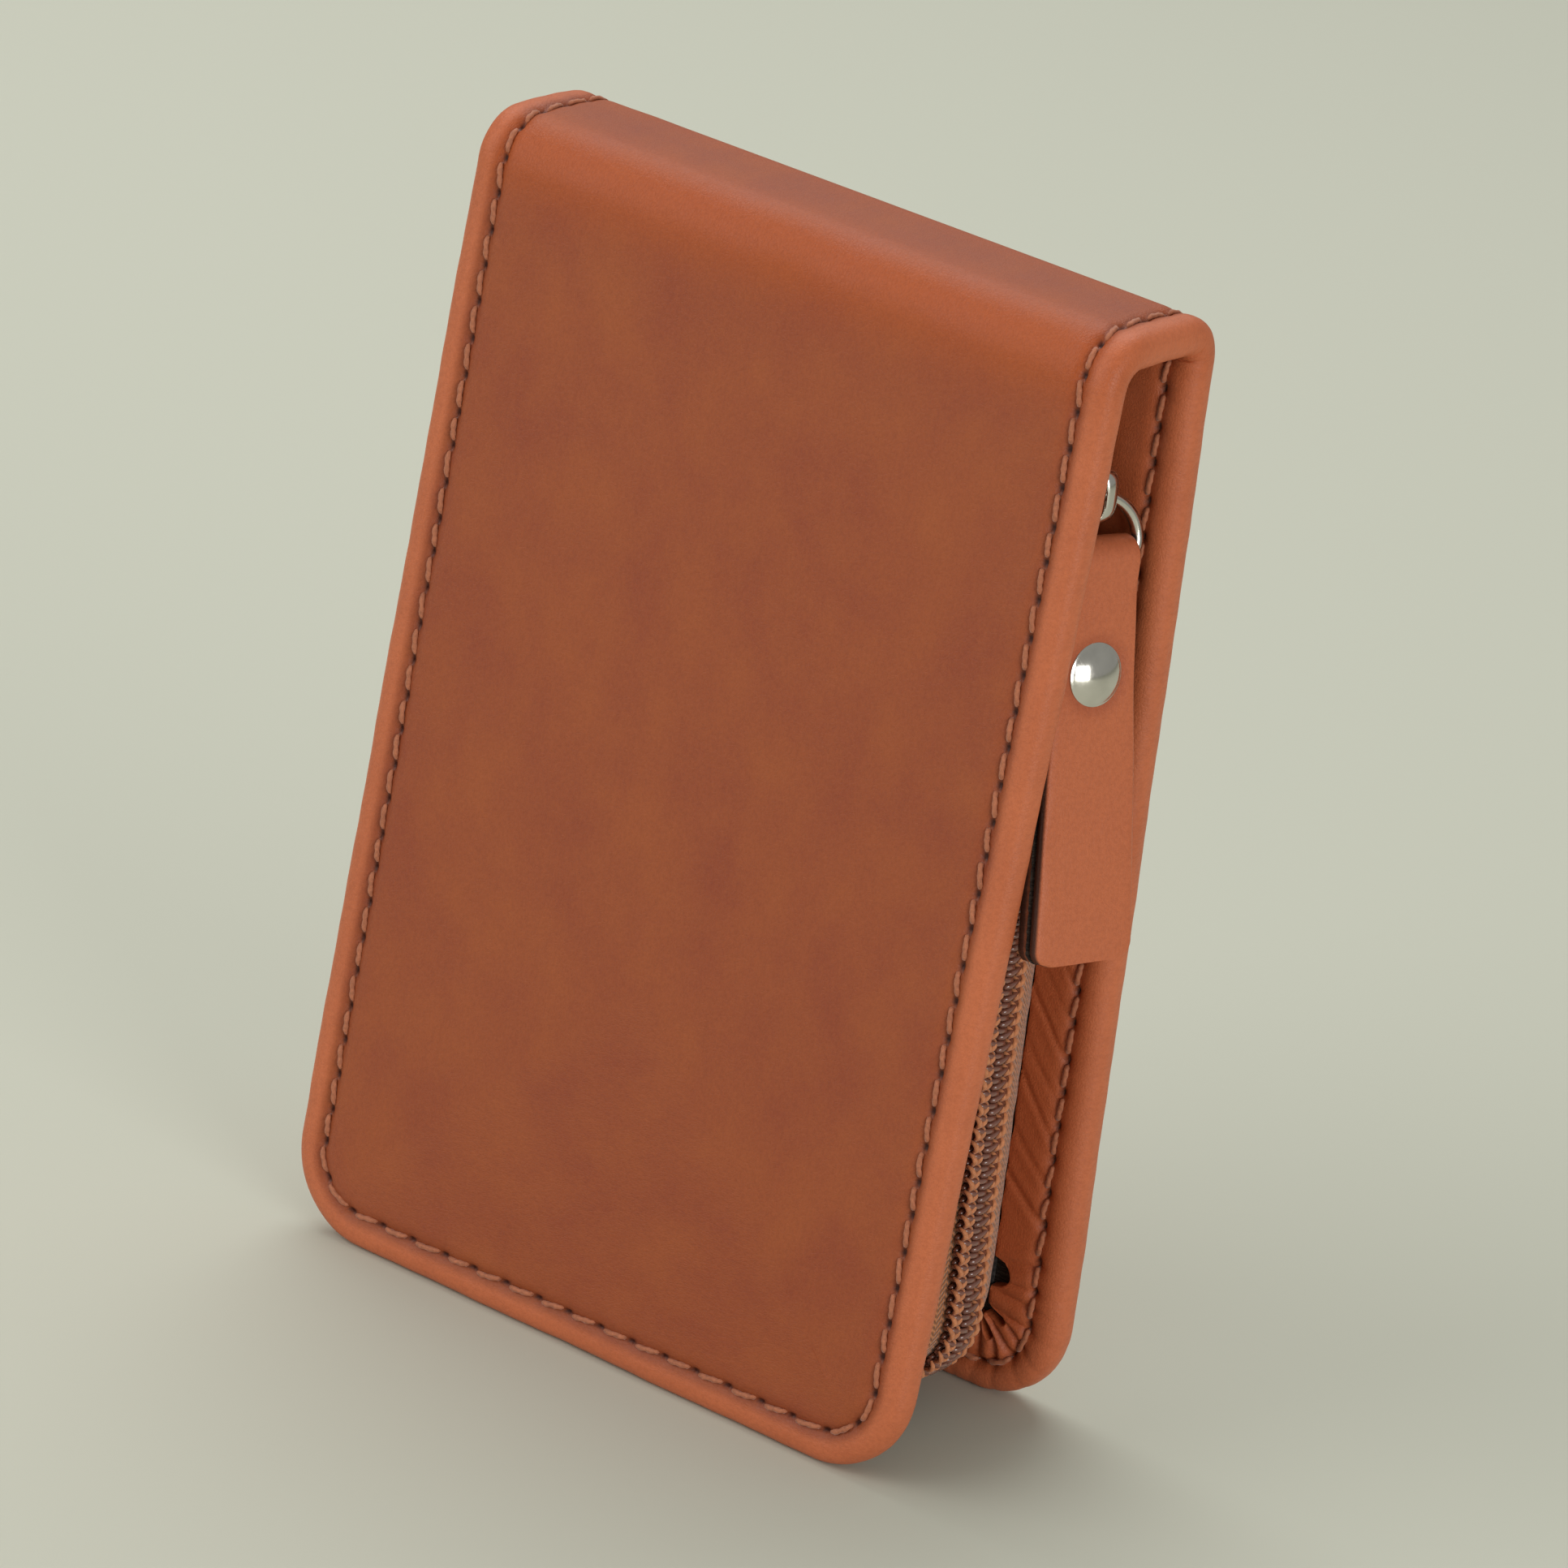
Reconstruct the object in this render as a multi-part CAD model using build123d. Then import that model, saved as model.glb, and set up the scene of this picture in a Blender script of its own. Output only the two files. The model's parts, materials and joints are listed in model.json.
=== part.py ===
from build123d import *
import os
from math import asin, atan2, cos, hypot, radians, sin, tan

# A slim zip-round leather case that stands on the two rolled feet of its covers.
# Millimetres, +Z up, front cover towards -Y, zip pull on the +X side.
# The origin is on the ground, at the middle of the whole object's outline.

# --- driving dimensions -------------------------------------------------------
WIDTH = 72.8            # across the covers, X
HEIGHT = 112.0          # foot to spine, Z
FOOT_DEPTH = 30.2       # outside of front cover to outside of back cover, at the feet
TOP_DEPTH = 17.6        # the same, at the spine
TOP_SHIFT = -1.1        # the spine sits this far forward of the middle of the feet
CORNER_RADIUS = 9.0     # bottom corners of both covers
FRONT_FOLD_RADIUS = 5.0
BACK_FOLD_RADIUS = 4.5
FOLD_GAP = 0.3          # slit between spine and cover at each fold line
FOOT_RISE = 0.09        # lifts the leaning covers so that their rolled feet touch the ground

LEATHER = 1.2           # hide thickness
BOARD = 1.4             # fibreboard stiffener thickness
WALL = 2 * LEATHER + BOARD   # rolled edge: leather, board, turned-in leather
ROLL_RADIUS = 1.85      # round of the rolled edge
TURN_IN = 8.2           # width of the leather turned over the board
LINING = 0.6
LINING_GAP = 0.15       # round the lining, inside the turned-in border
INNER_CORNER = 4.0      # bottom corners of the lining

STITCH_INSET = 3.4      # seam line in from the edge
THREAD = 0.7            # thread width on the surface
THREAD_DEEP = 0.35      # the seam lies in a groove of this depth

COIL_INSET = 2.6        # outer face of the zip chain, in from the cover edges, if run down to the ground
COIL_FOOT = 4.0         # the same, above the ground along the foot
CHAIN_SLANT = 3.26      # degrees that the chain's sides lean in towards the spine
COIL_THICK = 1.6
COIL_INNER_Y = 0.6      # each half's coil starts this far from the middle plane
COIL_OUTER_Y = 2.6
TAPE = 0.8
CHAIN_CORNER = 8.0      # corner radius of the chain's outer face
TAPE_FLAT = 3.6         # the tape lies flat under the chain as far as this from the middle plane
TAPE_TUCK = 8.5         # inset of the tape where it meets the covers' lining
TAPE_CORNER = 4.4       # its corner radius there
TAPE_TOP = 104.0
COIL_TOP = 100.5
STOP_HEIGHT = 2.6
STOP_PROUD = 0.2

SLIDER_Z = 94.4         # middle of the slider's bridge, zip closed
SLIDER_LENGTH = 9.0
SLIDER_HALF_WIDE = 3.2  # at the mouth, where the two chains enter
SLIDER_HALF_NARROW = 2.2
SLIDER_PLATE = 0.8
SLIDER_CLEAR = 0.2      # plates to chain
NECK_HALF = 0.35
NECK_LENGTH = 3.0
BRIDGE_HALF_Y = 1.0
BRIDGE_HALF_OPEN = 2.3  # along Z
BRIDGE_OPEN_X = 2.7
BRIDGE_STRAP = 0.6

WIRE_RADIUS = 0.6       # D-ring
RING_HALF = 5.3         # half width of its centre line
RING_LEG = 1.3
RING_RISE = 4.5         # height of its arc above the legs
RING_CORNER = 1.2
RING_TURN = 17.0        # degrees that ring and tab are turned towards the front
RING_LEAN = 11.5        # degrees that they lean out from the side
RING_SLIP = -0.7        # the ring sits this far off centre in the bridge
RING_OUT = 1.6          # wire centre out from the slider's outer plate

TAB_WIDTH = 9.0         # at the ring's bar
TAB_END_WIDTH = 11.5    # at its free end
TAB_LENGTH = 37.2       # below the ring's bar
TAB_CORE = 0.5
TAB_LOOP = 0.1          # clearance of the loop round the bar
TAB_CORNER = 1.6
RIVET_DROP = 10.5       # below the bar
RIVET_RADIUS = 3.0
RIVET_DOME = 0.9
RIVET_STEM = 1.0
RIVET_BACK_RADIUS = 2.7
RIVET_BACK = 0.4

REACH = 200.0           # larger than the object, for cutting solids
CUT_PAST = 0.2          # a cut runs this far past the faces it opens

# --- worked out from them -----------------------------------------------------
HALF_WIDTH = WIDTH / 2
SIDES = {"front": (-1, FRONT_FOLD_RADIUS), "back": (1, BACK_FOLD_RADIUS)}
SLANT = radians(CHAIN_SLANT)
CHAIN_UP = Vector(-sin(SLANT), 0, cos(SLANT))
CHAIN_OUT = Vector(cos(SLANT), 0, sin(SLANT))
SLIDER_POINT = Vector(HALF_WIDTH - COIL_INSET - SLIDER_Z * tan(SLANT), 0, SLIDER_Z)
SLIDER_PLANE = Plane(origin=SLIDER_POINT, x_dir=CHAIN_OUT, z_dir=CHAIN_UP)
BRIDGE_X = SLIDER_CLEAR + SLIDER_PLATE      # outer face of the slider, out from the chain
BRIDGE_POINT = SLIDER_POINT + CHAIN_OUT * (BRIDGE_X + RING_OUT)

RING_AXIS = Vector(sin(radians(RING_TURN)), cos(radians(RING_TURN)), 0)
TURN_NORMAL = Vector(cos(radians(RING_TURN)), -sin(radians(RING_TURN)), 0)
RING_UP = Vector(0, 0, cos(radians(RING_LEAN))) - TURN_NORMAL * sin(radians(RING_LEAN))
BAR_CENTRE = BRIDGE_POINT + RING_AXIS * RING_SLIP - RING_UP * (RING_LEG + RING_RISE)
RING_PLANE = Plane(origin=BAR_CENTRE, x_dir=RING_AXIS, z_dir=RING_AXIS.cross(RING_UP))
TAB_HALF_THICK = TAB_CORE / 2 + LEATHER


def fold_centre(side):
    """(y, z) of the middle of the fold at the top of a cover."""
    sign, radius = SIDES[side]
    return Vector(TOP_SHIFT + sign * (TOP_DEPTH / 2 - radius), HEIGHT - radius)


def lean(side):
    """Angle by which a cover leans in, so that its outer face is tangent to the fold."""
    sign, radius = SIDES[side]
    across = sign * fold_centre(side).X - FOOT_DEPTH / 2
    up = HEIGHT - radius - FOOT_RISE
    return asin(-radius / hypot(across, up)) - atan2(across, up)


def cover_point(side, depth, rise):
    """(y, z) of a point in a cover: depth in from its outer face, rise up from its foot."""
    sign = SIDES[side][0]
    angle = lean(side)
    up = Vector(-sign * sin(angle), cos(angle)) * rise
    inwards = Vector(-sign * cos(angle), -sin(angle)) * depth
    return Vector(sign * FOOT_DEPTH / 2, FOOT_RISE) + up + inwards


def wrap_line(depth, rise):
    """Side view of the wrap at one depth: front cover, fold, spine, fold, back cover."""
    edges = []
    ends = {}
    for side, (sign, radius) in SIDES.items():
        centre = fold_centre(side)
        out = Vector(sign * cos(lean(side)), sin(lean(side)))
        middle = (out + Vector(0, 1)).normalized()
        foot = cover_point(side, depth, rise)
        tangent = centre + out * (radius - depth)
        crest = centre + Vector(0, radius - depth)
        edges.append(Line(foot, tangent))
        edges.append(ThreePointArc(tangent, centre + middle * (radius - depth), crest))
        ends[side] = (foot, crest)
    edges.append(Line(ends["front"][1], ends["back"][1]))
    return edges, ends["front"][0], ends["back"][0]


def wrap_band(near, far, inset, corner):
    """The whole wrap between two depths, inset from its edges, with round foot corners."""
    outer, front_out, back_out = wrap_line(near, inset)
    inner, front_in, back_in = wrap_line(far, inset)
    outline = outer + inner + [Line(front_out, front_in), Line(back_out, back_in)]
    band = extrude(Plane.YZ * make_face(outline), amount=HALF_WIDTH - inset, both=True)
    corners = [
        edge
        for edge in band.edges()
        if abs(edge.length - (far - near)) < 0.01
        and abs(edge.center().X) > HALF_WIDTH - inset - 0.01
        and edge.center().Z < inset + WALL
    ]
    return fillet(corners, radius=corner)


def rolled_wrap():
    """The full thickness of the wrap, with its edges rolled round."""
    block = wrap_band(0, WALL, 0, CORNER_RADIUS)
    rim = [
        edge
        for edge in block.edges()
        if (abs(edge.center().X) > HALF_WIDTH - CORNER_RADIUS or edge.center().Z < WALL)
        and abs(edge.length - WALL) > 0.01
    ]
    return fillet(rim, radius=ROLL_RADIUS)


def cutter(side, shift):
    """Everything on a cover's side of its fold line, moved along the wrap by shift."""
    sign = SIDES[side][0]
    centre = fold_centre(side)
    ray = Vector(sign, 1).normalized()
    along = Vector(sign, -1).normalized()
    start = centre + along * shift
    points = [
        start,
        start + ray * REACH,
        Vector(sign * REACH * 2, REACH * 2),
        Vector(sign * REACH * 2, -REACH),
        Vector(start.X, -REACH),
    ]
    return extrude(Plane.YZ * make_face(Polyline(*points, close=True)), amount=REACH, both=True)


def split(shape):
    """Cuts a wrap solid at its two fold lines into front, spine and back."""
    pieces = {side: shape & cutter(side, FOLD_GAP / 2) for side in SIDES}
    pieces["spine"] = shape - cutter("front", -FOLD_GAP / 2) - cutter("back", -FOLD_GAP / 2)
    return pieces


def hinge_point(side):
    """(y, z) of the fold line on the outer face, about which the leather bends."""
    sign, radius = SIDES[side]
    return fold_centre(side) + Vector(sign, 1).normalized() * radius


def leather():
    """Outer hide, rolled over the board's edge and turned in all round."""
    board_room = wrap_band(LEATHER, LEATHER + BOARD, LEATHER, CORNER_RADIUS - LEATHER)
    lining_room = wrap_band(LEATHER + BOARD, WALL, TURN_IN, INNER_CORNER)
    return rolled_wrap() - board_room - lining_room - thread()


def board():
    """Stiffener inside the hide."""
    return wrap_band(LEATHER, LEATHER + BOARD, LEATHER, CORNER_RADIUS - LEATHER)


def lining():
    """Cloth on the board, inside the turned-in border."""
    depth = LEATHER + BOARD
    return wrap_band(depth, depth + LINING, TURN_IN + LINING_GAP, INNER_CORNER)


def thread():
    """One seam line round the wrap, sunk in a groove in its outer and its inner face."""
    low = STITCH_INSET - THREAD / 2
    high = STITCH_INSET + THREAD / 2
    faces = [(0, THREAD_DEEP), (WALL - THREAD_DEEP, WALL)]
    lines = [
        wrap_band(near, far, low, CORNER_RADIUS - low)
        - wrap_band(near - CUT_PAST, far + CUT_PAST, high, CORNER_RADIUS - high)
        for near, far in faces
    ]
    return lines[0] + lines[1]


def chain_face(inward):
    """The front view of all that lies inside the chain, its outer face moved inward."""
    top = TAPE_TOP + SLIDER_LENGTH
    foot = COIL_FOOT + inward
    reach = HALF_WIDTH - COIL_INSET - inward / cos(SLANT)
    low, high = reach - foot * tan(SLANT), reach - top * tan(SLANT)
    face = make_face(Polyline((low, foot), (high, top), (-high, top), (-low, foot), close=True))
    return fillet(face.vertices().group_by(Axis.Y)[0], radius=CHAIN_CORNER - inward)


def cover_face(side, inset, radius):
    """The area of a cover's lining face that lies inside an inset from its edges."""
    depth = LEATHER + BOARD + LINING
    foot = cover_point(side, depth, 0)
    up = cover_point(side, depth, 1) - foot
    plane = Plane(origin=(0, foot.X, foot.Y), x_dir=(1, 0, 0), z_dir=(0, -up.Y, up.X))
    top = TAPE_TOP + SLIDER_LENGTH
    half = HALF_WIDTH - inset
    face = make_face(Polyline((half, inset), (half, top), (-half, top), (-half, inset), close=True))
    return plane * fillet(face.vertices().group_by(Axis.Y)[0], radius=radius)


def below(shape, top):
    """The part of a shape under a height."""
    return shape & (Pos(0, 0, top) * Box(REACH, REACH, REACH, align=(Align.CENTER, Align.CENTER, Align.MAX)))


def trough(outer, inner, top, near, far, side):
    """A wall that follows the chain, between two distances inward and two from the middle."""
    sign = SIDES[side][0]
    place = Plane(origin=(0, sign * near, 0), x_dir=(1, 0, 0), z_dir=(0, -1, 0))
    outside, inside = (extrude(place * chain_face(inward), -sign * (far - near)) for inward in (outer, inner))
    return below(outside - inside, top)


def side_wall(side, inward, inset, radius):
    """All that lies inside the slanting part of the tape, from under the chain to the cover."""
    sign = SIDES[side][0]
    place = Plane(origin=(0, sign * TAPE_FLAT, 0), x_dir=(1, 0, 0), z_dir=(0, -1, 0))
    return loft([place * chain_face(inward), cover_face(side, inset, radius)], ruled=True)


def tape(side):
    """Half of the zip's tape: flat under the chain, then slanting to the cover."""
    flat = trough(COIL_THICK, COIL_THICK + TAPE, TAPE_TOP, COIL_INNER_Y, TAPE_FLAT, side)
    outside = side_wall(side, COIL_THICK, TAPE_TUCK, TAPE_CORNER)
    inside = side_wall(side, COIL_THICK + TAPE, TAPE_TUCK + TAPE, TAPE_CORNER - TAPE)
    return flat + below(outside - inside, TAPE_TOP)


def coil(side):
    """Half of the zip's chain, on the outer face of its tape."""
    return trough(0, COIL_THICK, COIL_TOP, COIL_INNER_Y, COIL_OUTER_Y, side)


def stops(side):
    """Stops above both ends of a half chain."""
    tall = COIL_TOP + STOP_HEIGHT
    full = trough(-STOP_PROUD, COIL_THICK, tall, COIL_INNER_Y, COIL_OUTER_Y, side)
    return full - below(full, COIL_TOP)


def slider_body():
    """Two plates either side of the chain, joined by a slim neck between its halves."""
    half = SLIDER_LENGTH / 2
    outline = Polyline(
        (-SLIDER_HALF_NARROW, -half),
        (SLIDER_HALF_NARROW, -half),
        (SLIDER_HALF_NARROW, -half / 3),
        (SLIDER_HALF_WIDE, half / 3),
        (SLIDER_HALF_WIDE, half),
        (-SLIDER_HALF_WIDE, half),
        (-SLIDER_HALF_WIDE, half / 3),
        (-SLIDER_HALF_NARROW, -half / 3),
        close=True,
    )
    face = make_face(outline)
    face = fillet(face.vertices(), radius=0.9)
    inner_x = -COIL_THICK - TAPE - SLIDER_CLEAR - SLIDER_PLATE
    plates = [
        extrude(Plane.YZ.offset(x) * face, amount=SLIDER_PLATE) for x in (inner_x, SLIDER_CLEAR)
    ]
    neck_x = inner_x + SLIDER_PLATE
    neck = Box(
        SLIDER_CLEAR - neck_x, 2 * NECK_HALF, NECK_LENGTH, align=(Align.MIN, Align.CENTER, Align.MIN)
    )
    return SLIDER_PLANE * (plates[0] + plates[1] + Pos(neck_x, 0, 0) * neck)


def slider_bridge():
    """The arch on the slider's outer plate that holds the ring."""
    half = BRIDGE_HALF_OPEN + BRIDGE_STRAP
    tall = BRIDGE_OPEN_X + BRIDGE_STRAP
    outside = fillet(Rectangle(2 * tall, 2 * half).vertices(), radius=1.6)
    inside = fillet(Rectangle(2 * BRIDGE_OPEN_X, 2 * BRIDGE_HALF_OPEN).vertices(), radius=1.0)
    arch = extrude(Plane.XZ * (outside - inside), amount=BRIDGE_HALF_Y, both=True)
    arch = arch & Box(REACH, REACH, REACH, align=(Align.MIN, Align.CENTER, Align.CENTER))
    return SLIDER_PLANE * Pos(BRIDGE_X, 0, 0) * arch


def d_ring():
    """Round wire bent to a D: a bar below, two short legs and an arc above."""
    a, r, leg = RING_HALF, RING_CORNER, RING_LEG
    arc = EllipticalCenterArc((0, leg), a, RING_RISE, start_angle=0, arc_size=180)
    lean_in = r * (1 - sin(radians(45)))
    path = Wire(
        [
            Line((-a + r, 0), (a - r, 0)),
            ThreePointArc((a - r, 0), (a - lean_in, lean_in), (a, r)),
            Line((a, r), (a, leg)),
            arc,
            Line((-a, leg), (-a, r)),
            ThreePointArc((-a, r), (-a + lean_in, lean_in), (-a + r, 0)),
        ]
    )
    section = Plane(origin=path @ 0, z_dir=path % 0) * Circle(WIRE_RADIUS)
    return RING_PLANE * sweep(section, path=path)


def tab_frame(shape):
    """Brings a shape drawn as (out, up) in its own plane to the pull's place."""
    side_plane = Plane(origin=BAR_CENTRE, x_dir=RING_PLANE.z_dir, z_dir=-RING_AXIS)
    return side_plane * shape


def rivet_hole():
    stem = Cylinder(RIVET_STEM, 4 * TAB_HALF_THICK)
    return RING_PLANE * Pos(0, -RIVET_DROP, 0) * stem


def rounded_end(shape):
    """Tapers the tab's sides and rounds its two lower corners, seen from its face."""
    top = TAB_WIDTH
    low, high = TAB_END_WIDTH / 2, TAB_WIDTH / 2
    corners = [(low, -TAB_LENGTH), (high, 0), (high, top), (-high, top), (-high, 0), (-low, -TAB_LENGTH)]
    face = make_face(Polyline(*corners, close=True))
    face = fillet(face.vertices().group_by(Axis.Y)[0], radius=TAB_CORNER)
    return shape & (RING_PLANE * extrude(face, amount=TAB_WIDTH, both=True))


def tab_strip():
    """A strip folded over the ring's bar: a loop above and two legs down."""
    inner = WIRE_RADIUS + TAB_LOOP
    loop = Circle(inner + LEATHER)
    legs = Pos(0, -TAB_LENGTH / 2) * Rectangle(2 * TAB_HALF_THICK, TAB_LENGTH)
    core = Pos(0, -TAB_LENGTH / 2) * Rectangle(TAB_CORE, TAB_LENGTH)
    section = loop + legs - core - Circle(inner)
    strip = extrude(section, amount=TAB_END_WIDTH / 2, both=True)
    return rounded_end(tab_frame(strip)) - rivet_hole()


def tab_core():
    """The dark stiffening layer between the legs."""
    top = WIRE_RADIUS + TAB_LOOP + LEATHER
    height = TAB_LENGTH - top
    section = Pos(0, -top - height / 2) * Rectangle(TAB_CORE, height)
    return rounded_end(tab_frame(extrude(section, amount=TAB_END_WIDTH / 2, both=True))) - rivet_hole()


def rivet_cap():
    """Domed cap with its stem through the tab."""
    ball = (RIVET_RADIUS**2 + RIVET_DOME**2) / (2 * RIVET_DOME)
    dome = Pos(0, 0, RIVET_DOME - ball) * Sphere(ball)
    above = Box(REACH, REACH, REACH, align=(Align.CENTER, Align.CENTER, Align.MIN))
    stem_length = 2 * TAB_HALF_THICK
    stem = Cylinder(RIVET_STEM, stem_length, align=(Align.CENTER, Align.CENTER, Align.MAX))
    return RING_PLANE * Pos(0, -RIVET_DROP, TAB_HALF_THICK) * ((dome & above) + stem)


def rivet_back():
    """Flat cap behind the tab."""
    disc = Cylinder(RIVET_BACK_RADIUS, RIVET_BACK, align=(Align.CENTER, Align.CENTER, Align.MAX))
    return RING_PLANE * Pos(0, -RIVET_DROP, -TAB_HALF_THICK) * disc


def all_parts():
    parts = {}
    for name, shape in (
        ("leather", leather()),
        ("board", board()),
        ("lining", lining()),
        ("thread", thread()),
    ):
        for place, piece in split(shape).items():
            parts[f"{place}_{name}"] = piece
    for side in SIDES:
        parts[f"{side}_tape"] = tape(side)
        parts[f"{side}_coil"] = coil(side)
        parts[f"{side}_stops"] = stops(side)
    for make in (slider_body, slider_bridge, d_ring, tab_strip, tab_core, rivet_cap, rivet_back):
        parts[make.__name__] = make()
    return parts


os.makedirs("parts", exist_ok=True)
PARTS = all_parts()

# The pull stands out past the right edges, so the whole object is moved to bring the
# middle of its outline over the origin.
pull_reach = PARTS["tab_strip"].bounding_box().max.X - HALF_WIDTH
CENTRING = Pos(-pull_reach / 2, 0, 0)
for node, shape in PARTS.items():
    export_step(CENTRING * shape, f"parts/{node}.step")

for side in SIDES:
    fold = hinge_point(side)
    print(f"{side} fold line y {fold.X:.3f} z {fold.Y:.3f}, lean {lean(side):.5f} rad")
print("slider run", CHAIN_UP * -1)
print("ring swing point", CENTRING.position + BRIDGE_POINT)
print("tab swing point", CENTRING.position + BAR_CENTRE, "axis", RING_AXIS, "ring up", RING_UP)
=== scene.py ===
"""A small zip-round leather case: hide, seams, zip and pull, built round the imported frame."""

import json
import math

import bmesh
import bpy
import numpy as np
from bpy.props import FloatProperty, FloatVectorProperty, IntProperty, PointerProperty
from mathutils import Matrix, Vector


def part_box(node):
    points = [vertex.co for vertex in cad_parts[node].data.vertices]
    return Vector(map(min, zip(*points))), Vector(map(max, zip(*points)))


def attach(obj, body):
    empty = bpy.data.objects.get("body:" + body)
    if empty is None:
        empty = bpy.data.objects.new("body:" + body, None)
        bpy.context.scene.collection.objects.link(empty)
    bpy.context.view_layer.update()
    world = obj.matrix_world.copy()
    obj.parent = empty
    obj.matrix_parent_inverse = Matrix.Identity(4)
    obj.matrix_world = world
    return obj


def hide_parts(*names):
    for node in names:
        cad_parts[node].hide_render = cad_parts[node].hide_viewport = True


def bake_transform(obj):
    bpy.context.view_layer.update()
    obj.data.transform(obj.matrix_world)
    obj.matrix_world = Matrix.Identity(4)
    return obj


bl_info = {
    "name": "Zip-Round Leather Case",
    "version": (1, 0, 0),
    "blender": (4, 5, 0),
    "location": "3D View > Sidebar > Leather Case",
    "description": "Builds the hide, seams, zip and pull of a small zip-round leather case",
    "category": "Add Mesh",
}

MM = 0.001
MERGE = 0.0005 * MM  # points closer than this become one
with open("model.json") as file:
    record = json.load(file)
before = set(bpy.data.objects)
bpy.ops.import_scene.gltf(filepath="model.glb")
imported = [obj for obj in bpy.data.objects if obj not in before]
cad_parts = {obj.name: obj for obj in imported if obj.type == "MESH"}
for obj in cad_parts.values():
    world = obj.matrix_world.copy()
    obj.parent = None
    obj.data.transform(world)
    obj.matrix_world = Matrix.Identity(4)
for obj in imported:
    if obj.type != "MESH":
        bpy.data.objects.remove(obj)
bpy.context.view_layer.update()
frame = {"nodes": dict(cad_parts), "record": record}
JOINTS = {joint["name"]: joint for joint in frame["record"]["behaviour"]["joints"]}
COVER_LOW, COVER_HIGH = (np.array(corner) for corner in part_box("front_leather"))
CENTRE_X = (COVER_LOW[0] + COVER_HIGH[0]) / 2
HALF_WIDTH = (COVER_HIGH[0] - COVER_LOW[0]) / 2
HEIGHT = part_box("spine_leather")[1][2]
SIGN = {"front": -1.0, "back": 1.0}
HOLE_SEED = {"front": 7, "back": 8}
STITCH_SEED = {"front": 21, "back": 22}
SPECK_SHADE = (0.60, 0.53, 0.48)  # multiplies the hide in its fine dark specks


# --- sizes and colours --------------------------------------------------------


def length(name, description, millimetres):
    """A size in the sidebar, given here in millimetres and kept in metres."""
    return FloatProperty(
        name=name, description=description, default=millimetres * MM, unit="LENGTH", precision=5
    )


def colour(name, description, code):
    """A colour in the sidebar, given as an sRGB hex code and kept linear."""
    return FloatVectorProperty(
        name=name, description=description, default=linear(code), size=3, subtype="COLOR",
        min=0, max=1,
    )


def linear(code):
    """sRGB hex to linear red, green, blue."""
    value = np.array([int(code[place : place + 2], 16) / 255 for place in (1, 3, 5)])
    return tuple(np.where(value <= 0.04045, value / 12.92, ((value + 0.055) / 1.055) ** 2.4))


class CaseSizes(bpy.types.PropertyGroup):
    """Sizes of the wrap, its rolled edge and its seam."""

    foot_depth: length("Foot depth", "Outside of the covers at the feet", 30.2)
    top_depth: length("Top depth", "Outside of the covers at the spine", 17.6)
    top_shift: length("Top shift", "Spine in front of the middle of the feet", -1.1)
    foot_rise: length("Foot rise", "Lift of the leaning covers' outer faces", 0.09)
    front_fold: length("Front fold", "Outer radius of the front fold", 5.0)
    back_fold: length("Back fold", "Outer radius of the back fold", 4.5)
    crown: length("Crown", "Rise of the spine's middle", 0.3)
    corner: length("Corner", "Radius of the covers' foot corners", 9.0)
    hide: length("Hide", "Thickness of the hide", 1.2)
    wall: length("Wall", "Hide, board and turned-in hide", 3.8)
    roll: length("Roll", "Radius of the rolled edge", 1.85)
    turn_in: length("Turn-in", "Width of the hide turned over the board", 8.2)
    seam: length("Seam inset", "Seam line in from the edge", 3.4)
    groove: length("Seam groove", "Depth to which the seam pulls the hide in", 0.32)
    thread: length("Thread", "Half thickness of the sewing thread", 0.23)
    side_stitches: IntProperty(name="Side stitches", description="Mid spine to corner", default=31)
    foot_stitches: IntProperty(name="Foot stitches", description="Round both corners", default=19)


class ZipSizes(bpy.types.PropertyGroup):
    """Sizes of the zip."""

    inset: length("Chain inset", "Chain's outer face in from the edges, at the ground", 2.6)
    foot: length("Chain foot", "Chain's outer face above the ground", 4.0)
    slant: FloatProperty(name="Slant", description="Lean of the chain's sides", subtype="ANGLE",
                         default=math.radians(3.26))
    thick: length("Chain thickness", "Coil from tape to top", 1.6)
    corner: length("Chain corner", "Radius of the chain's corners", 8.0)
    tape: length("Tape", "Thickness of the tape", 0.7)
    tape_flat: length("Tape flat", "Half width of the flat part under the chain", 3.6)
    tuck: length("Tape tuck", "Inset of the tape at the covers", 8.5)
    tuck_corner: length("Tuck corner", "Corner radius of the tape at the covers", 4.4)
    tape_top: length("Tape top", "Height of the tape's ends", 104.0)
    coil_top: length("Coil top", "Height of the chain's ends", 100.5)
    pitch: length("Pitch", "From one turn of the coil to the next", 1.25)
    wire: length("Monofilament", "Radius of the coil's monofilament", 0.3)


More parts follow.
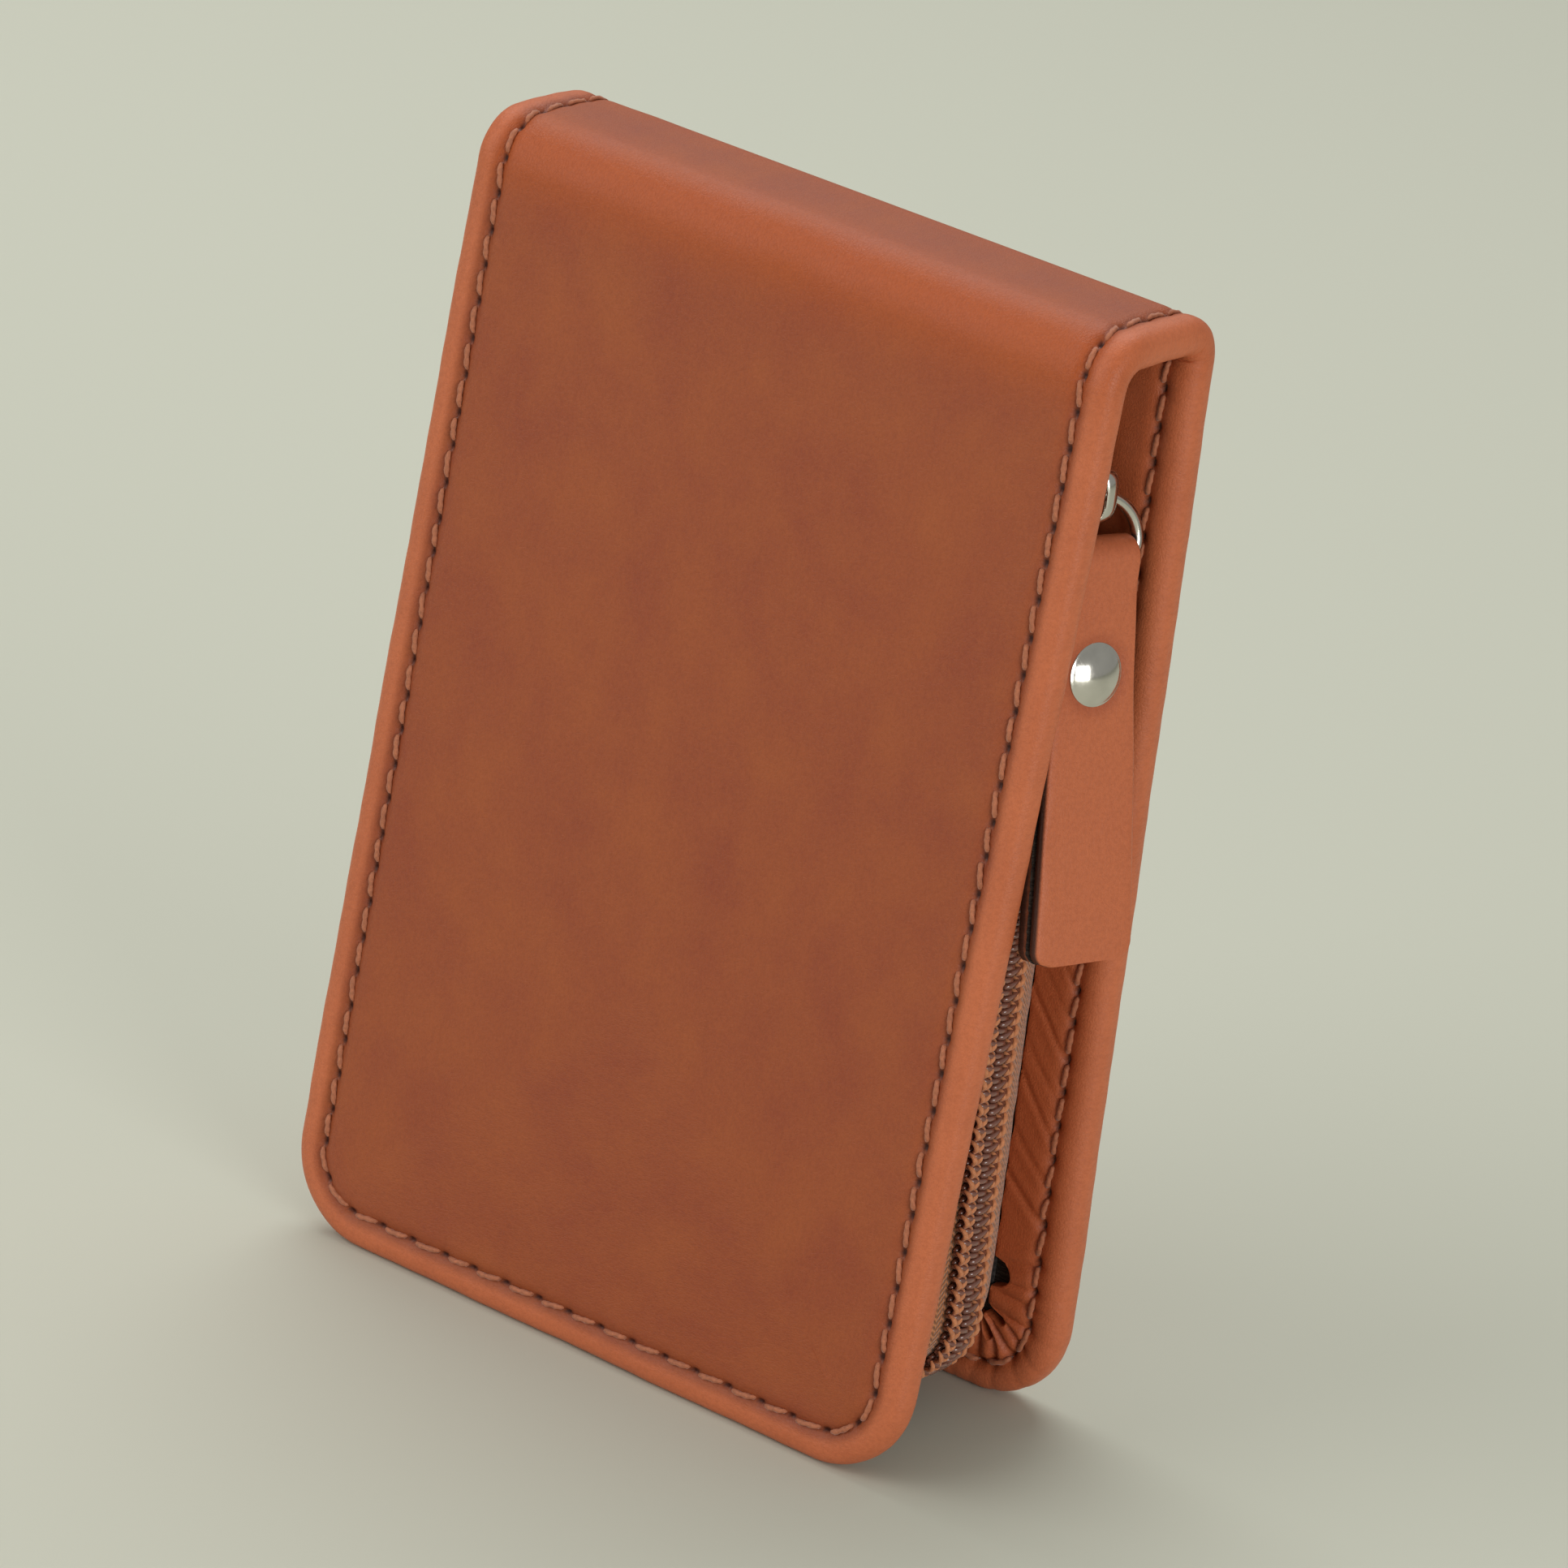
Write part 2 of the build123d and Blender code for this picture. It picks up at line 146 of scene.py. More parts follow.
class PullSizes(bpy.types.PropertyGroup):
    """Sizes of the slider, ring, tab and rivet."""

    slider_height: length("Slider height", "Middle of the slider above the ground", 94.4)
    slider_length: length("Slider", "Length of the slider's plates", 9.0)
    slider_clear: length("Slider clearance", "Plates to chain", 0.2)
    slider_plate: length("Slider plate", "Thickness of the plates", 0.8)
    ring_wire: length("Ring wire", "Radius of the D-ring's wire", 0.6)
    ring_half: length("Ring", "Half width of the D-ring's centre line", 5.3)
    ring_leg: length("Ring leg", "Straight part between bar and arc", 1.3)
    ring_rise: length("Ring rise", "Height of the arc above the legs", 4.5)
    ring_slip: length("Ring slip", "How far off centre the ring hangs", -0.7)
    tab_width: length("Tab width", "Width of the leather tab at the bar", 9.0)
    tab_end_width: length("Tab end width", "Width of the leather tab at its free end", 11.5)
    tab_length: length("Tab length", "From the ring's bar to the tab's end", 37.2)
    tab_core: length("Tab core", "Thickness of the dark layer between the legs", 0.5)
    rivet_drop: length("Rivet drop", "Rivet below the ring's bar", 10.5)
    rivet_radius: length("Rivet radius", "Radius of the domed cap", 3.0)
    rivet_dome: length("Rivet dome", "Height of the domed cap", 0.9)


class CaseColours(bpy.types.PropertyGroup):
    """Colours of the finishes."""

    hide_dark: colour("Hide, dark", "Darker cloud in the hide", "#8F4129")
    hide_light: colour("Hide, light", "Lighter cloud in the hide", "#A4552C")
    # Painted highlight: the lighter colour laid along the rolled edges and over the tab strip
    # stands for light falling on them, not for burnish.
    painted_highlight: colour("Hide, roll", "Burnished rolled edge", "#CB7048")
    # Painted reflection: the orange band along each fold stands for light reflected off the bend,
    # not for pull-up of the hide.
    painted_fold_reflection: colour("Hide, fold", "Pull-up along the fold", "#B2521C")
    # Painted light: the turned-in border is the same hide as the face, given a lighter colour to
    # offset the shade it lies in.
    painted_border_light: colour("Hide, turned in", "Turned-in border", "#BA6038")
    # Painted shade: the dark colour inside the needle holes and, weaker, along the seam line.
    painted_seam_shade: colour("Needle hole", "Inside of the needle holes", "#451A10")
    thread: colour("Thread", "Seam thread", "#BC7250")
    tape: colour("Tape", "Zip tape", "#C88254")
    coil: colour("Coil", "Nylon monofilament", "#84503F")
    nickel: colour("Nickel", "Nickel plate", "#D8D3CA")
    fibre: colour("Fibre", "Black fibreboard and core", "#2C2320")
    fibre_strand: colour("Fibre strands", "Grey strands in the fibreboard", "#5F554C")
    chain_thread: colour("Chain thread", "Sewing of the coil to its tape", "#D68A5C")
    cloth: colour("Lining", "Black brushed lining", "#262120")
    floor: colour("Floor", "Pale backdrop paper", "#C9CABB")


def case():
    return bpy.context.scene.case_sizes


def zip_sizes():
    return bpy.context.scene.zip_sizes


def pull():
    return bpy.context.scene.pull_sizes


def colours():
    return bpy.context.scene.case_colours


# --- meshes -------------------------------------------------------------------


def grid_faces(rows, columns, closed_rows=False, closed_columns=False):
    """Quads of a rows x columns grid of points, joined round where a direction is closed."""
    index = np.arange(rows * columns).reshape(rows, columns)
    if closed_rows:
        index = np.vstack([index, index[:1]])
    if closed_columns:
        index = np.hstack([index, index[:, :1]])
    corners = (index[:-1, :-1], index[1:, :-1], index[1:, 1:], index[:-1, 1:])
    return np.stack([corner.ravel() for corner in corners], axis=1)




def build(name, points, faces, material, marks=None, sharp=50.0, fill=False):
    """Makes a piece from points (..., 3) and quads: doubles merged, faces outwards, open ends
    closed where fill says so."""
    mesh = bpy.data.meshes.new(name)
    mesh.from_pydata(np.asarray(points, float).reshape(-1, 3), [], faces)
    for mark, values in (marks or {}).items():
        values = np.asarray(values, np.float32)
        if values.ndim > 1 and values.shape[-1] == 3:
            layer = mesh.attributes.new(mark, "FLOAT_VECTOR", "POINT")
            layer.data.foreach_set("vector", values.ravel())
        else:
            layer = mesh.attributes.new(mark, "FLOAT", "POINT")
            layer.data.foreach_set("value", values.ravel())
    shape = bmesh.new()
    shape.from_mesh(mesh)
    bmesh.ops.remove_doubles(shape, verts=shape.verts, dist=MERGE)
    if fill:
        bmesh.ops.holes_fill(shape, edges=[edge for edge in shape.edges if edge.is_boundary])
    bmesh.ops.recalc_face_normals(shape, faces=shape.faces)
    shape.to_mesh(mesh)
    shape.free()
    mesh.shade_smooth()
    mesh.set_sharp_from_angle(angle=math.radians(sharp))
    mesh.materials.append(material)
    piece = bpy.data.objects.new(name, mesh)
    bpy.context.scene.collection.objects.link(piece)
    return piece


def build_tubes(name, points, material, sharp=180.0):
    """A piece from tubes: points (count, steps, sides, 3), each tube closed round and capped."""
    count, steps, sides = points.shape[:3]
    one = grid_faces(steps, sides, closed_columns=True)
    faces = (np.arange(count)[:, None, None] * steps * sides + one[None]).reshape(-1, 4)
    return build(name, points, faces, material, sharp=sharp, fill=True)


def unit(vectors):
    return vectors / np.maximum(np.linalg.norm(vectors, axis=-1, keepdims=True), 1e-12)


def stacked(*parts):
    """Points or marks from their parts, each broadcast to the others."""
    return np.stack(np.broadcast_arrays(*parts), axis=-1)


def circle(sides):
    return np.linspace(0, 2 * np.pi, sides, endpoint=False)


def powered(value, power):
    """A power that keeps the value's sign; below 1 it makes an ellipse boxier."""
    return np.sign(value) * np.abs(value) ** power


def tubes(centres, up, wide, high, sides=8, twist=None, lobes=0.0):
    """Tubes along centres (count, steps, 3): at each step an ellipse wide x high across the
    tangent, its high axis nearest to up. twist (steps) turns two plies round the tube."""
    tangent = unit(np.gradient(centres, axis=1))
    across = unit(np.cross(tangent, up))
    over = np.cross(across, tangent)
    angle = circle(sides)
    steps = centres.shape[1]
    turned = np.zeros(steps) if twist is None else np.asarray(twist)
    ply = 1 + lobes * np.cos(2 * (angle[None, :] - turned[:, None]))
    wide = (np.ones(steps) * wide)[:, None] * ply * np.cos(angle)
    high = (np.ones(steps) * high)[:, None] * ply * np.sin(angle)
    return (
        centres[:, :, None]
        + across[:, :, None] * wide[None, :, :, None]
        + over[:, :, None] * high[None, :, :, None]
    )


def bell(value, width):
    """A smooth hump, 1 at zero."""
    return np.exp(-((value / width) ** 2))


def step(low, high, value):
    """Smooth rise from 0 at low to 1 at high."""
    t = np.clip((value - low) / (high - low), 0, 1)
    return t * t * (3 - 2 * t)


def waves(value, lengths, seed):
    """Sum of sines of the given wavelengths with seeded phases, about -1 to 1."""
    phases = np.random.default_rng(seed).uniform(0, 2 * np.pi, len(lengths))
    total = sum(np.sin(2 * np.pi * value / long + phase) for long, phase in zip(lengths, phases))
    return total / len(lengths)


# --- the wrap -----------------------------------------------------------------


def half_wrap(side):
    """Sign, fold radius, fold centre (y, z), lean angle, straight length and angle of the fold."""
    sizes = case()
    sign = SIGN[side]
    radius = sizes.front_fold if side == "front" else sizes.back_fold
    middle = sizes.top_shift + sign * (sizes.top_depth / 2 - radius)
    across = sign * middle - sizes.foot_depth / 2
    up = HEIGHT - radius - sizes.foot_rise
    lean = math.asin(-radius / math.hypot(across, up)) - math.atan2(across, up)
    straight = math.sqrt(across**2 + up**2 - radius**2)
    centre = (middle, HEIGHT - radius)
    return sign, radius, centre, lean, straight, math.pi / 2 - lean


def half_length(side):
    """Length of the outer face from the foot to the middle of the spine."""
    _, radius, centre, _, straight, turn = half_wrap(side)
    return straight + radius * turn + abs(centre[0] - spine_middle())


def spine_middle():
    sizes = case()
    return sizes.top_shift + (sizes.front_fold - sizes.back_fold) / 2


def wrap_point(side, x, s, depth):
    """Where a point of the wrap lies: x across, s up the outer face from the foot, depth in.
    Straight up the leaning cover, round the fold as an arc, then level along the spine, with
    a slight crown in its middle."""
    sign, radius, centre, lean, straight, turn = half_wrap(side)
    angle = lean + np.clip((s - straight) / radius, 0, turn)
    below = straight - np.minimum(s, straight)
    level = np.maximum(s - straight - radius * turn, 0)
    rise = case().crown * step(straight, half_length(side), s) * np.sin(angle)
    y = centre[0] + (radius - depth + rise) * sign * np.cos(angle) + sign * below * math.sin(lean)
    z = centre[1] + (radius - depth + rise) * np.sin(angle) - below * math.cos(lean)
    return stacked(CENTRE_X + x, y - sign * level, z)


def outline_grid(inset, corner, top, counts):
    """x and height of nested U outlines: from the top down the right side, round the foot's
    corners and up the left. inset is (rows, 1) or (rows, columns); a row's corner radius is what
    its inset leaves of the outer corner, and past that the corner is sharp."""
    sides, corners, foot = counts
    down = np.linspace(0, 1, sides)
    angle = np.linspace(0, np.pi / 2, corners + 1)[1:]
    along = np.linspace(0, 1, foot + 1)[1:]
    columns = 2 * sides - 1 + 2 * corners + foot
    inset = np.broadcast_to(inset, (inset.shape[0], columns))
    left = np.maximum(corner - inset, 0)
    turn = inset + left
    x, s = np.empty_like(inset), np.empty_like(inset)
    a, b, c, d, e = np.split(np.arange(columns), np.cumsum([sides, corners, foot, corners]))
    x[:, a] = HALF_WIDTH - inset[:, a]
    s[:, a] = top + (turn[:, a] - top) * down
    x[:, b] = HALF_WIDTH - turn[:, b] + left[:, b] * np.cos(angle)
    s[:, b] = turn[:, b] - left[:, b] * np.sin(angle)
    x[:, c] = (HALF_WIDTH - turn[:, c]) * (1 - 2 * along)
    s[:, c] = inset[:, c]
    back = np.append(angle[:-1][::-1], 0)
    x[:, d] = -(HALF_WIDTH - turn[:, d] + left[:, d] * np.cos(back))
    s[:, d] = turn[:, d] - left[:, d] * np.sin(back)
    x[:, e] = -(HALF_WIDTH - inset[:, e])
    s[:, e] = top + (turn[:, e] - top) * down[::-1][1:]
    return x, s


def outline_point(a, inset, corner, top):
    """x, height and outward normal (x, height) at length a along the U outline at an inset:
    down the right side, a quarter circle, the foot, a quarter circle, up the left side."""
    radius = corner - inset
    side = top - corner
    arc = radius * np.pi / 2
    foot = 2 * (HALF_WIDTH - corner)
    first = np.clip(a - side, 0, arc) / radius
    level = np.clip(a - side - arc, 0, foot)
    second = np.clip(a - side - arc - foot, 0, arc) / radius
    up = np.maximum(a - side - 2 * arc - foot, 0)
    x = HALF_WIDTH - corner + radius * np.cos(first) - level - radius * np.sin(second)
    s = top - np.minimum(a, side) - radius * np.sin(first) + radius * (1 - np.cos(second)) + up
    turned = first + second
    return x, s, np.cos(turned), -np.sin(turned)


def outline_length(inset, corner, top):
    return 2 * (top - corner) + (corner - inset) * np.pi + 2 * (HALF_WIDTH - corner)


def needle_holes(side):
    """Lengths along the seam of its needle holes: evenly down each side and round the foot."""
    sizes = case()
    top = half_length(side)
    straight = top - sizes.corner
    total = outline_length(sizes.seam, sizes.corner, top)
    down = np.linspace(0, straight, sizes.side_stitches + 1)
    foot = np.linspace(straight, total - straight, sizes.foot_stitches + 1)
    up = np.linspace(total - straight, total, sizes.side_stitches + 1)
    holes = np.concatenate([down, foot[1:], up[1:]])
    shift = np.random.default_rng(HOLE_SEED[side]).normal(0, 0.12 * MM, len(holes))
    shift[[0, -1]] = 0
    return holes + shift


# Creases of the turned-in border near the foot corners of each cover. Each is: millimetres along
# the seam past the start of the corner (below zero is up the side), how far it slants along per
# millimetre across, across from and to (below zero is the outer face), half width, depth.
CREASES = {"back": (
    (-44.0, -1.3, 3.2, 7.6, 0.34, 0.16),
    (-39.5, -1.1, 3.4, 6.4, 0.28, 0.11),
    (-34.8, -1.5, 3.1, 7.8, 0.36, 0.17),
    (-31.6, -1.2, 3.6, 6.8, 0.24, 0.09),
    (-27.2, -1.4, 3.1, 7.8, 0.38, 0.20),
    (-22.8, -1.2, 3.2, 7.0, 0.28, 0.14),
    (-18.6, -1.4, 3.1, 7.8, 0.36, 0.20),
    (-14.4, -1.0, 3.1, 7.4, 0.30, 0.16),
    (-10.2, -0.9, 2.6, 7.8, 0.34, 0.24),
    (-6.4, 0.2, 2.2, 7.8, 0.30, 0.29),
    (-3.6, 0.0, 0.2, 7.8, 0.28, 0.24),
    (-1.9, -0.1, 1.4, 7.8, 0.30, 0.36),
    (0.6, -0.2, -0.6, 7.8, 0.34, 0.29),
    (2.6, -0.3, 0.2, 7.0, 0.34, 0.39),
    (4.4, -0.3, -1.2, 7.8, 0.38, 0.35),
    (6.6, -0.3, -0.4, 7.8, 0.42, 0.42),
    (8.6, -0.2, -0.8, 7.8, 0.36, 0.32),
    (11.0, 0.0, 0.4, 7.8, 0.34, 0.25),
    (14.2, 0.2, 1.0, 7.0, 0.30, 0.17),
), "front": (
    (-30.0, -1.2, 3.2, 7.6, 0.34, 0.14),
    (-19.0, -1.3, 3.2, 7.4, 0.30, 0.16),
    (-9.0, 0.8, 3.0, 7.8, 0.34, 0.22),
    (-3.0, 0.2, 1.2, 7.8, 0.30, 0.24),
    (0.8, 0.0, 0.8, 7.8, 0.34, 0.32),
    (3.4, -0.2, 0.6, 7.8, 0.36, 0.36),
    (6.0, -0.3, 0.8, 7.8, 0.38, 0.35),
    (8.8, -0.1, 1.0, 7.8, 0.34, 0.28),
    (12.5, 0.2, 1.4, 7.4, 0.30, 0.18),
)}
# Where the turned-in border is notched at a corner, so that it can lie round it: millimetres
# past the start of the corner, half width, depth of the notch.
NOTCHES = ((-4.2, 1.6, 2.0), (1.2, 1.6, 2.3), (5.8, 1.5, 2.4))
NOTCH_REACH = 3.6 * MM  # the border follows its notched edge only inward of this inset
WRINKLE = {"front": 0.12 * MM, "back": 0.38 * MM}  # depth of the wrinkles at each fold
GROOVE_WIDTH = 0.72 * MM
HOLE_RADIUS = 0.3 * MM
HOLE_DEPTH = 0.42 * MM
STITCH_GAP = 0.5 * MM  # from a hole to the start of its stitch
PANEL_ROW, BORDER_ROW = 0.24 * MM, 0.26 * MM  # between rows of the hide's mesh across the edge
HIDE_COLUMN = 0.36 * MM  # between columns of the hide's mesh along a side
# The orange band along a fold is a painted reflection.
FOLD_REFLECTION = 4.4 * MM  # half width of the orange band along a fold
LINING_CORNER = 12.0 * MM  # outline radius whose inset gives the lining's corner


def seam_corners(side):
    """Lengths along the seam at which its two foot corners start, and the seam's whole length."""
    sizes = case()
    straight = half_length(side) - sizes.corner
    total = outline_length(sizes.seam, sizes.corner, half_length(side))
    return straight, total - straight, total


def notch_edge(side, a):
    """Inset of the turned-in border's free edge: straight, with a round notch where it was cut."""
    sizes = case()
    right, left, _ = seam_corners(side)
    edge = np.full_like(a, sizes.turn_in) + 0.12 * MM * waves(a, [9 * MM, 5.3 * MM, 3.1 * MM], 5)
    for place, width, deep in NOTCHES:
        for along in (a - right, left - a):
            away = np.abs(along - place * MM) / (width * MM)
            edge -= deep * MM * np.sqrt(np.clip(1 - away**2, 0, 1))
    return edge


def crease_relief(side, a, across):
    """Furrows of the turned-in border: each a narrow valley along a slanted line."""
    right, left, _ = seam_corners(side)
    relief = np.zeros(np.broadcast_shapes(a.shape, across.shape))
    over = across / MM
    turned = step(2.2, 3.8, over)
    for place, slant, start, end, width, deep in CREASES[side]:
        reach = step(start - 0.5, start + 0.5, over) * (1 - step(end, end + 1.2, over))
        for along in (a - right, left - a):
            off = np.abs(along / MM - place - slant * (over - 3.0))
            fine = np.exp(-off / (0.55 * width))
            puffed = bell(off, width) - 0.3 * bell(off - 1.1, 0.6)
            relief -= deep * MM * reach * (0.35 * fine * (1 - turned) + puffed * turned)
    return relief


def fold_wrinkles(side, s, across):
    """Small wrinkles of the roll and the border where they bend round a fold: deeper at the
    back fold than at the front."""
    _, radius, _, _, straight, turn = half_wrap(side)
    middle = straight + radius * turn / 2
    near = bell(s - middle, 4.2 * MM) * step(-0.4 * MM, 2.0 * MM, across)
    sharp = np.abs(np.sin(np.pi * (s - 0.25 * across) / (1.5 * MM) + waves(s, [3.3 * MM], 3)))
    return -WRINKLE[side] * near * (1 - sharp) ** 1.5


def hole_distance(side, a, across):
    """Distance along from the nearest needle hole, off the seam line, and from the hole itself,
    which is longer along the seam than across it."""
    holes = needle_holes(side)
    middles = (holes[1:] + holes[:-1]) / 2
    along = a - holes[np.searchsorted(middles, a.ravel())].reshape(a.shape)
    off_seam = np.abs(across) - case().seam
    return along, off_seam, np.hypot(off_seam, along * 0.5)


def hide_relief(side, a, across, s):
    """How far the hide stands out from its plain shape near its edges: pulled in along the seam,
    pierced at the needle holes, plumped between them, creased and softly uneven."""
    along, off_seam, from_hole = hole_distance(side, a, across)
    relief = -case().groove * bell(off_seam + 0 * a, GROOVE_WIDTH)
    relief -= HOLE_DEPTH * bell(from_hole, HOLE_RADIUS)
    relief -= 0.09 * MM * bell(along, 0.8 * MM) * bell(off_seam, 1.3 * MM)
    roll = 1 - step(1.6 * MM, 2.8 * MM, np.abs(across))
    relief += 0.03 * MM * roll * waves(a + 0.4 * across, [17 * MM, 7.3 * MM, 4.1 * MM], 11)
    relief += 0.05 * MM * waves(a * 0.7 + across * 1.3, [23 * MM, 13 * MM], 12)
    relief += crease_relief(side, a, across) + fold_wrinkles(side, s, across)
    return relief * (1 - step(8.5 * MM, 12 * MM, np.abs(across)))


def hide_profile():
    """Rows of the hide's closed cross-section, as arrays: inset, depth, outward direction
    (inset, depth) and signed distance across the edge (below zero on the outer face)."""
    sizes = case()
    wall, roll, hide, edge = sizes.wall, sizes.roll, sizes.hide, sizes.turn_in
    flat = [HALF_WIDTH, *(inset * MM for inset in (30, 24, 18, 13, 10, 8.5, 7.2))]
    panel = np.append(flat, np.arange(6.2 * MM, roll, -PANEL_ROW))
    turn = np.linspace(0, np.pi / 2, 8)
    border = np.arange(roll + PANEL_ROW, edge - 0.5 * MM, BORDER_ROW)
    border = np.append(border, edge - 0.3 * MM)
    under = np.array([edge - 0.1 * MM, 5.0 * MM, hide + 0.3 * MM])
    behind = np.array([hide + 0.3 * MM, 5.0 * MM, 16 * MM, HALF_WIDTH])
    rows = [
        (panel, 0 * panel, 0, -1, -panel),
        (roll - roll * np.sin(turn) ** 0.8, roll - roll * np.cos(turn) ** 0.8,
         -np.sin(turn), -np.cos(turn), -roll * (1 - 2 * turn / np.pi) - 0.02 * MM),
        (roll - roll * np.cos(turn), wall - roll + roll * np.sin(turn), -np.cos(turn), np.sin(turn),
         roll * 2 * turn / np.pi + 0.02 * MM),
        (border, wall + 0 * border, 0, 1, border),
        (np.array([edge - 0.08 * MM, edge, edge]),
         np.array([wall - 0.06 * MM, wall - 0.35 * MM, wall - hide]), 0, 0.4, np.full(3, edge)),
        (under, wall - hide + 0 * under, 0, 0, under),
        (np.full(2, hide), np.array([wall - hide - 0.3 * MM, hide + 0.3 * MM]), 0, 0, np.zeros(2)),
        (behind, hide + 0 * behind, 0, 0, np.zeros(4)),
    ]
    parts = [[np.broadcast_to(value, np.shape(row[0])) for value in row] for row in rows]
    return [np.concatenate(column) for column in zip(*parts)]


def hide_half(side, material):
    """Half the wrap's hide, from one foot to mid spine: the cross-section of a rolled and
    turned-in edge carried round the U outline, laid on the wrap's side view."""
    sizes = case()
    inset, depth, out_inset, out_depth, across = hide_profile()
    top = half_length(side)
    counts = (int((top - sizes.corner) / HIDE_COLUMN), 36, 150)
    seam_x, seam_s = outline_grid(np.array([[sizes.seam]]), sizes.corner, top, counts)
    steps = np.hypot(np.diff(seam_x[0]), np.diff(seam_s[0]))
    a = np.append(0, np.cumsum(steps))[None, :]
    plain = np.broadcast_to(inset[:, None], (len(inset), a.shape[1]))
    near_edge = np.clip((plain - NOTCH_REACH) / (sizes.turn_in - NOTCH_REACH), 0, 1)
    border = (across[:, None] > 0) * near_edge
    x, s = outline_grid(plain, sizes.corner, top, counts)
    relief = hide_relief(side, np.broadcast_to(a, plain.shape), across[:, None], s)
    shown = (np.abs(out_inset) + np.abs(out_depth) > 0)[:, None]
    relief = relief * shown
    moved = plain + relief * out_inset[:, None] + border * (notch_edge(side, a) - sizes.turn_in)
    moved = np.minimum(moved, HALF_WIDTH)
    x, s = outline_grid(moved, sizes.corner, top, counts)
    points = wrap_point(side, x, s, depth[:, None] + relief * out_depth[:, None])
    marks = hide_marks(side, a, across[:, None], x, s)
    faces = grid_faces(len(inset), a.shape[1])
    return build(f"{side}_hide", points, faces, material, marks, sharp=55, fill=True)


def hide_marks(side, a, across, x, s):
    """What the hide's colour follows: flat place; painted light on the roll, border and fold;
    painted shade in the needle holes and along the seam.
    """
    _, radius, _, _, straight, turn = half_wrap(side)
    a, across = np.broadcast_arrays(a, across)
    _, off_seam, from_hole = hole_distance(side, a, across)
    # where the painted highlight lies along the rolled edge
    roll = 1 - step(1.9 * MM, 2.9 * MM, np.abs(across))
    # where the turned-in border gets its painted light
    border = step(1.2 * MM, 2.8 * MM, across)
    # the painted orange reflection band along the fold
    fold = bell(s - straight - radius * turn * 0.35, FOLD_REFLECTION) * (1 - border) * (1 - 0.6 * roll)
    # painted shade along the seam line
    seam = bell(off_seam, 0.5 * MM)
    return {
        "flat": np.stack([x, s, across], axis=-1),
        # painted light: the highlight on the roll, the lighter border and the orange reflection
        # along the fold
        "painted_edge_light": np.stack([roll, border, fold], axis=-1),
        # painted shade in the needle holes and, weaker, along the seam line
        "needle": np.maximum(step(0.36 * MM, 0.16 * MM, from_hole), 0.22 * seam),
    }


def stitches(side, material):
    """The seam on both faces of half the wrap: each stitch a short two-ply thread from hole to
    hole, dipping into the holes and leaning a little across the seam line."""
    sizes = case()
    holes = needle_holes(side)
    top = half_length(side)
    rng = np.random.default_rng(STITCH_SEED[side])
    t = np.linspace(0, 1, 11)
    lift = -sizes.groove + sizes.thread * 0.6 - 0.6 * MM * (np.abs(2 * t - 1) ** 6)
    taper = np.sqrt(np.clip(1 - np.abs(2 * t - 1) ** 8, 0, 1))
    grids = []
    for face, lean_across in (("outer", 0.17), ("inner", -0.12)):
        start, end = holes[:-1, None], holes[1:, None]
        a = start + STITCH_GAP + (end - start - 2 * STITCH_GAP) * t
        slant = (lean_across + rng.normal(0, 0.05, (len(start), 1))) * MM * (2 * t - 1)
        wander = rng.normal(0, 0.04 * MM, (len(start), 1)) * np.sin(np.pi * t)
        x, s, out_x, out_s = outline_point(a, sizes.seam, sizes.corner, top)
        x, s = x + out_x * (slant + wander), s + out_s * (slant + wander)
        high = lift + rng.normal(0, 0.03 * MM, (len(start), 1)) * np.sin(np.pi * t)
        depth = -high if face == "outer" else sizes.wall + high
        centres = wrap_point(side, x, s, depth)
        above = wrap_point(side, x, s, depth + (-MM if face == "outer" else MM))
        plump = 1 + rng.normal(0, 0.05)
        grids.append(tubes(centres, unit(above - centres), sizes.thread * 1.15 * taper * plump,
                           sizes.thread * taper, twist=2.6 * np.pi * t, lobes=0.16))
    return build_tubes(f"{side}_stitches", np.concatenate(grids), material)


def lining_half(side, material):
    """The lining of half the wrap: a thin padded sheet inside the turned-in border, its rim
    rounded down to the board."""
    sizes = case()
    depth = sizes.wall - sizes.hide
    inset = np.array([28, 22, 18, 15, 12.5, 11.2, 10.3, 9.6, 9.1, 8.8, 8.6, 8.5, 8.5, 9.4, 20]) * MM
    inset = np.concatenate([[HALF_WIDTH], inset, [HALF_WIDTH]])
    thick = np.array([0.55] * 8 + [0.54, 0.5, 0.42, 0.3, 0.15] + [0.0] * 4)
    x, s = outline_grid(inset[:, None], LINING_CORNER, half_length(side), (150, 10, 60))
    soft = 0.06 * MM * waves(x + 0.3 * s, [11 * MM, 6 * MM], 31) * waves(s, [14 * MM, 8 * MM], 32)
    soft = soft * (thick[:, None] > 0.5)
    points = wrap_point(side, x, s, depth + 0.02 * MM + thick[:, None] * MM + soft)
    marks = {"flat": np.stack([x, s, 0 * x], axis=-1)}
    faces = grid_faces(len(inset), x.shape[1])
    return build(f"{side}_lining_sheet", points, faces, material, marks, sharp=60, fill=True)


def bend(piece):
    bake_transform(piece)


# --- the zip ------------------------------------------------------------------

TAPE_BELLY = 0.35 * MM  # how far the tape swells between chain and cover
TAPE_LAP = 0.55 * MM  # how far the tape's far edge lies in the cover
TAPE_START = 0.55 * MM  # the tape's near edge off the chain's middle
TAPE_SLOPE = 7.5 * MM  # length given to the sloping part in the weave
TURN_START = {"front": 0.25, "back": 0.75}  # where the first turn of each half lies, in pitches
LOOP_WIDE, LOOP_HIGH = 0.3 * MM, 0.24 * MM  # half thicknesses of the sewing that holds the coil


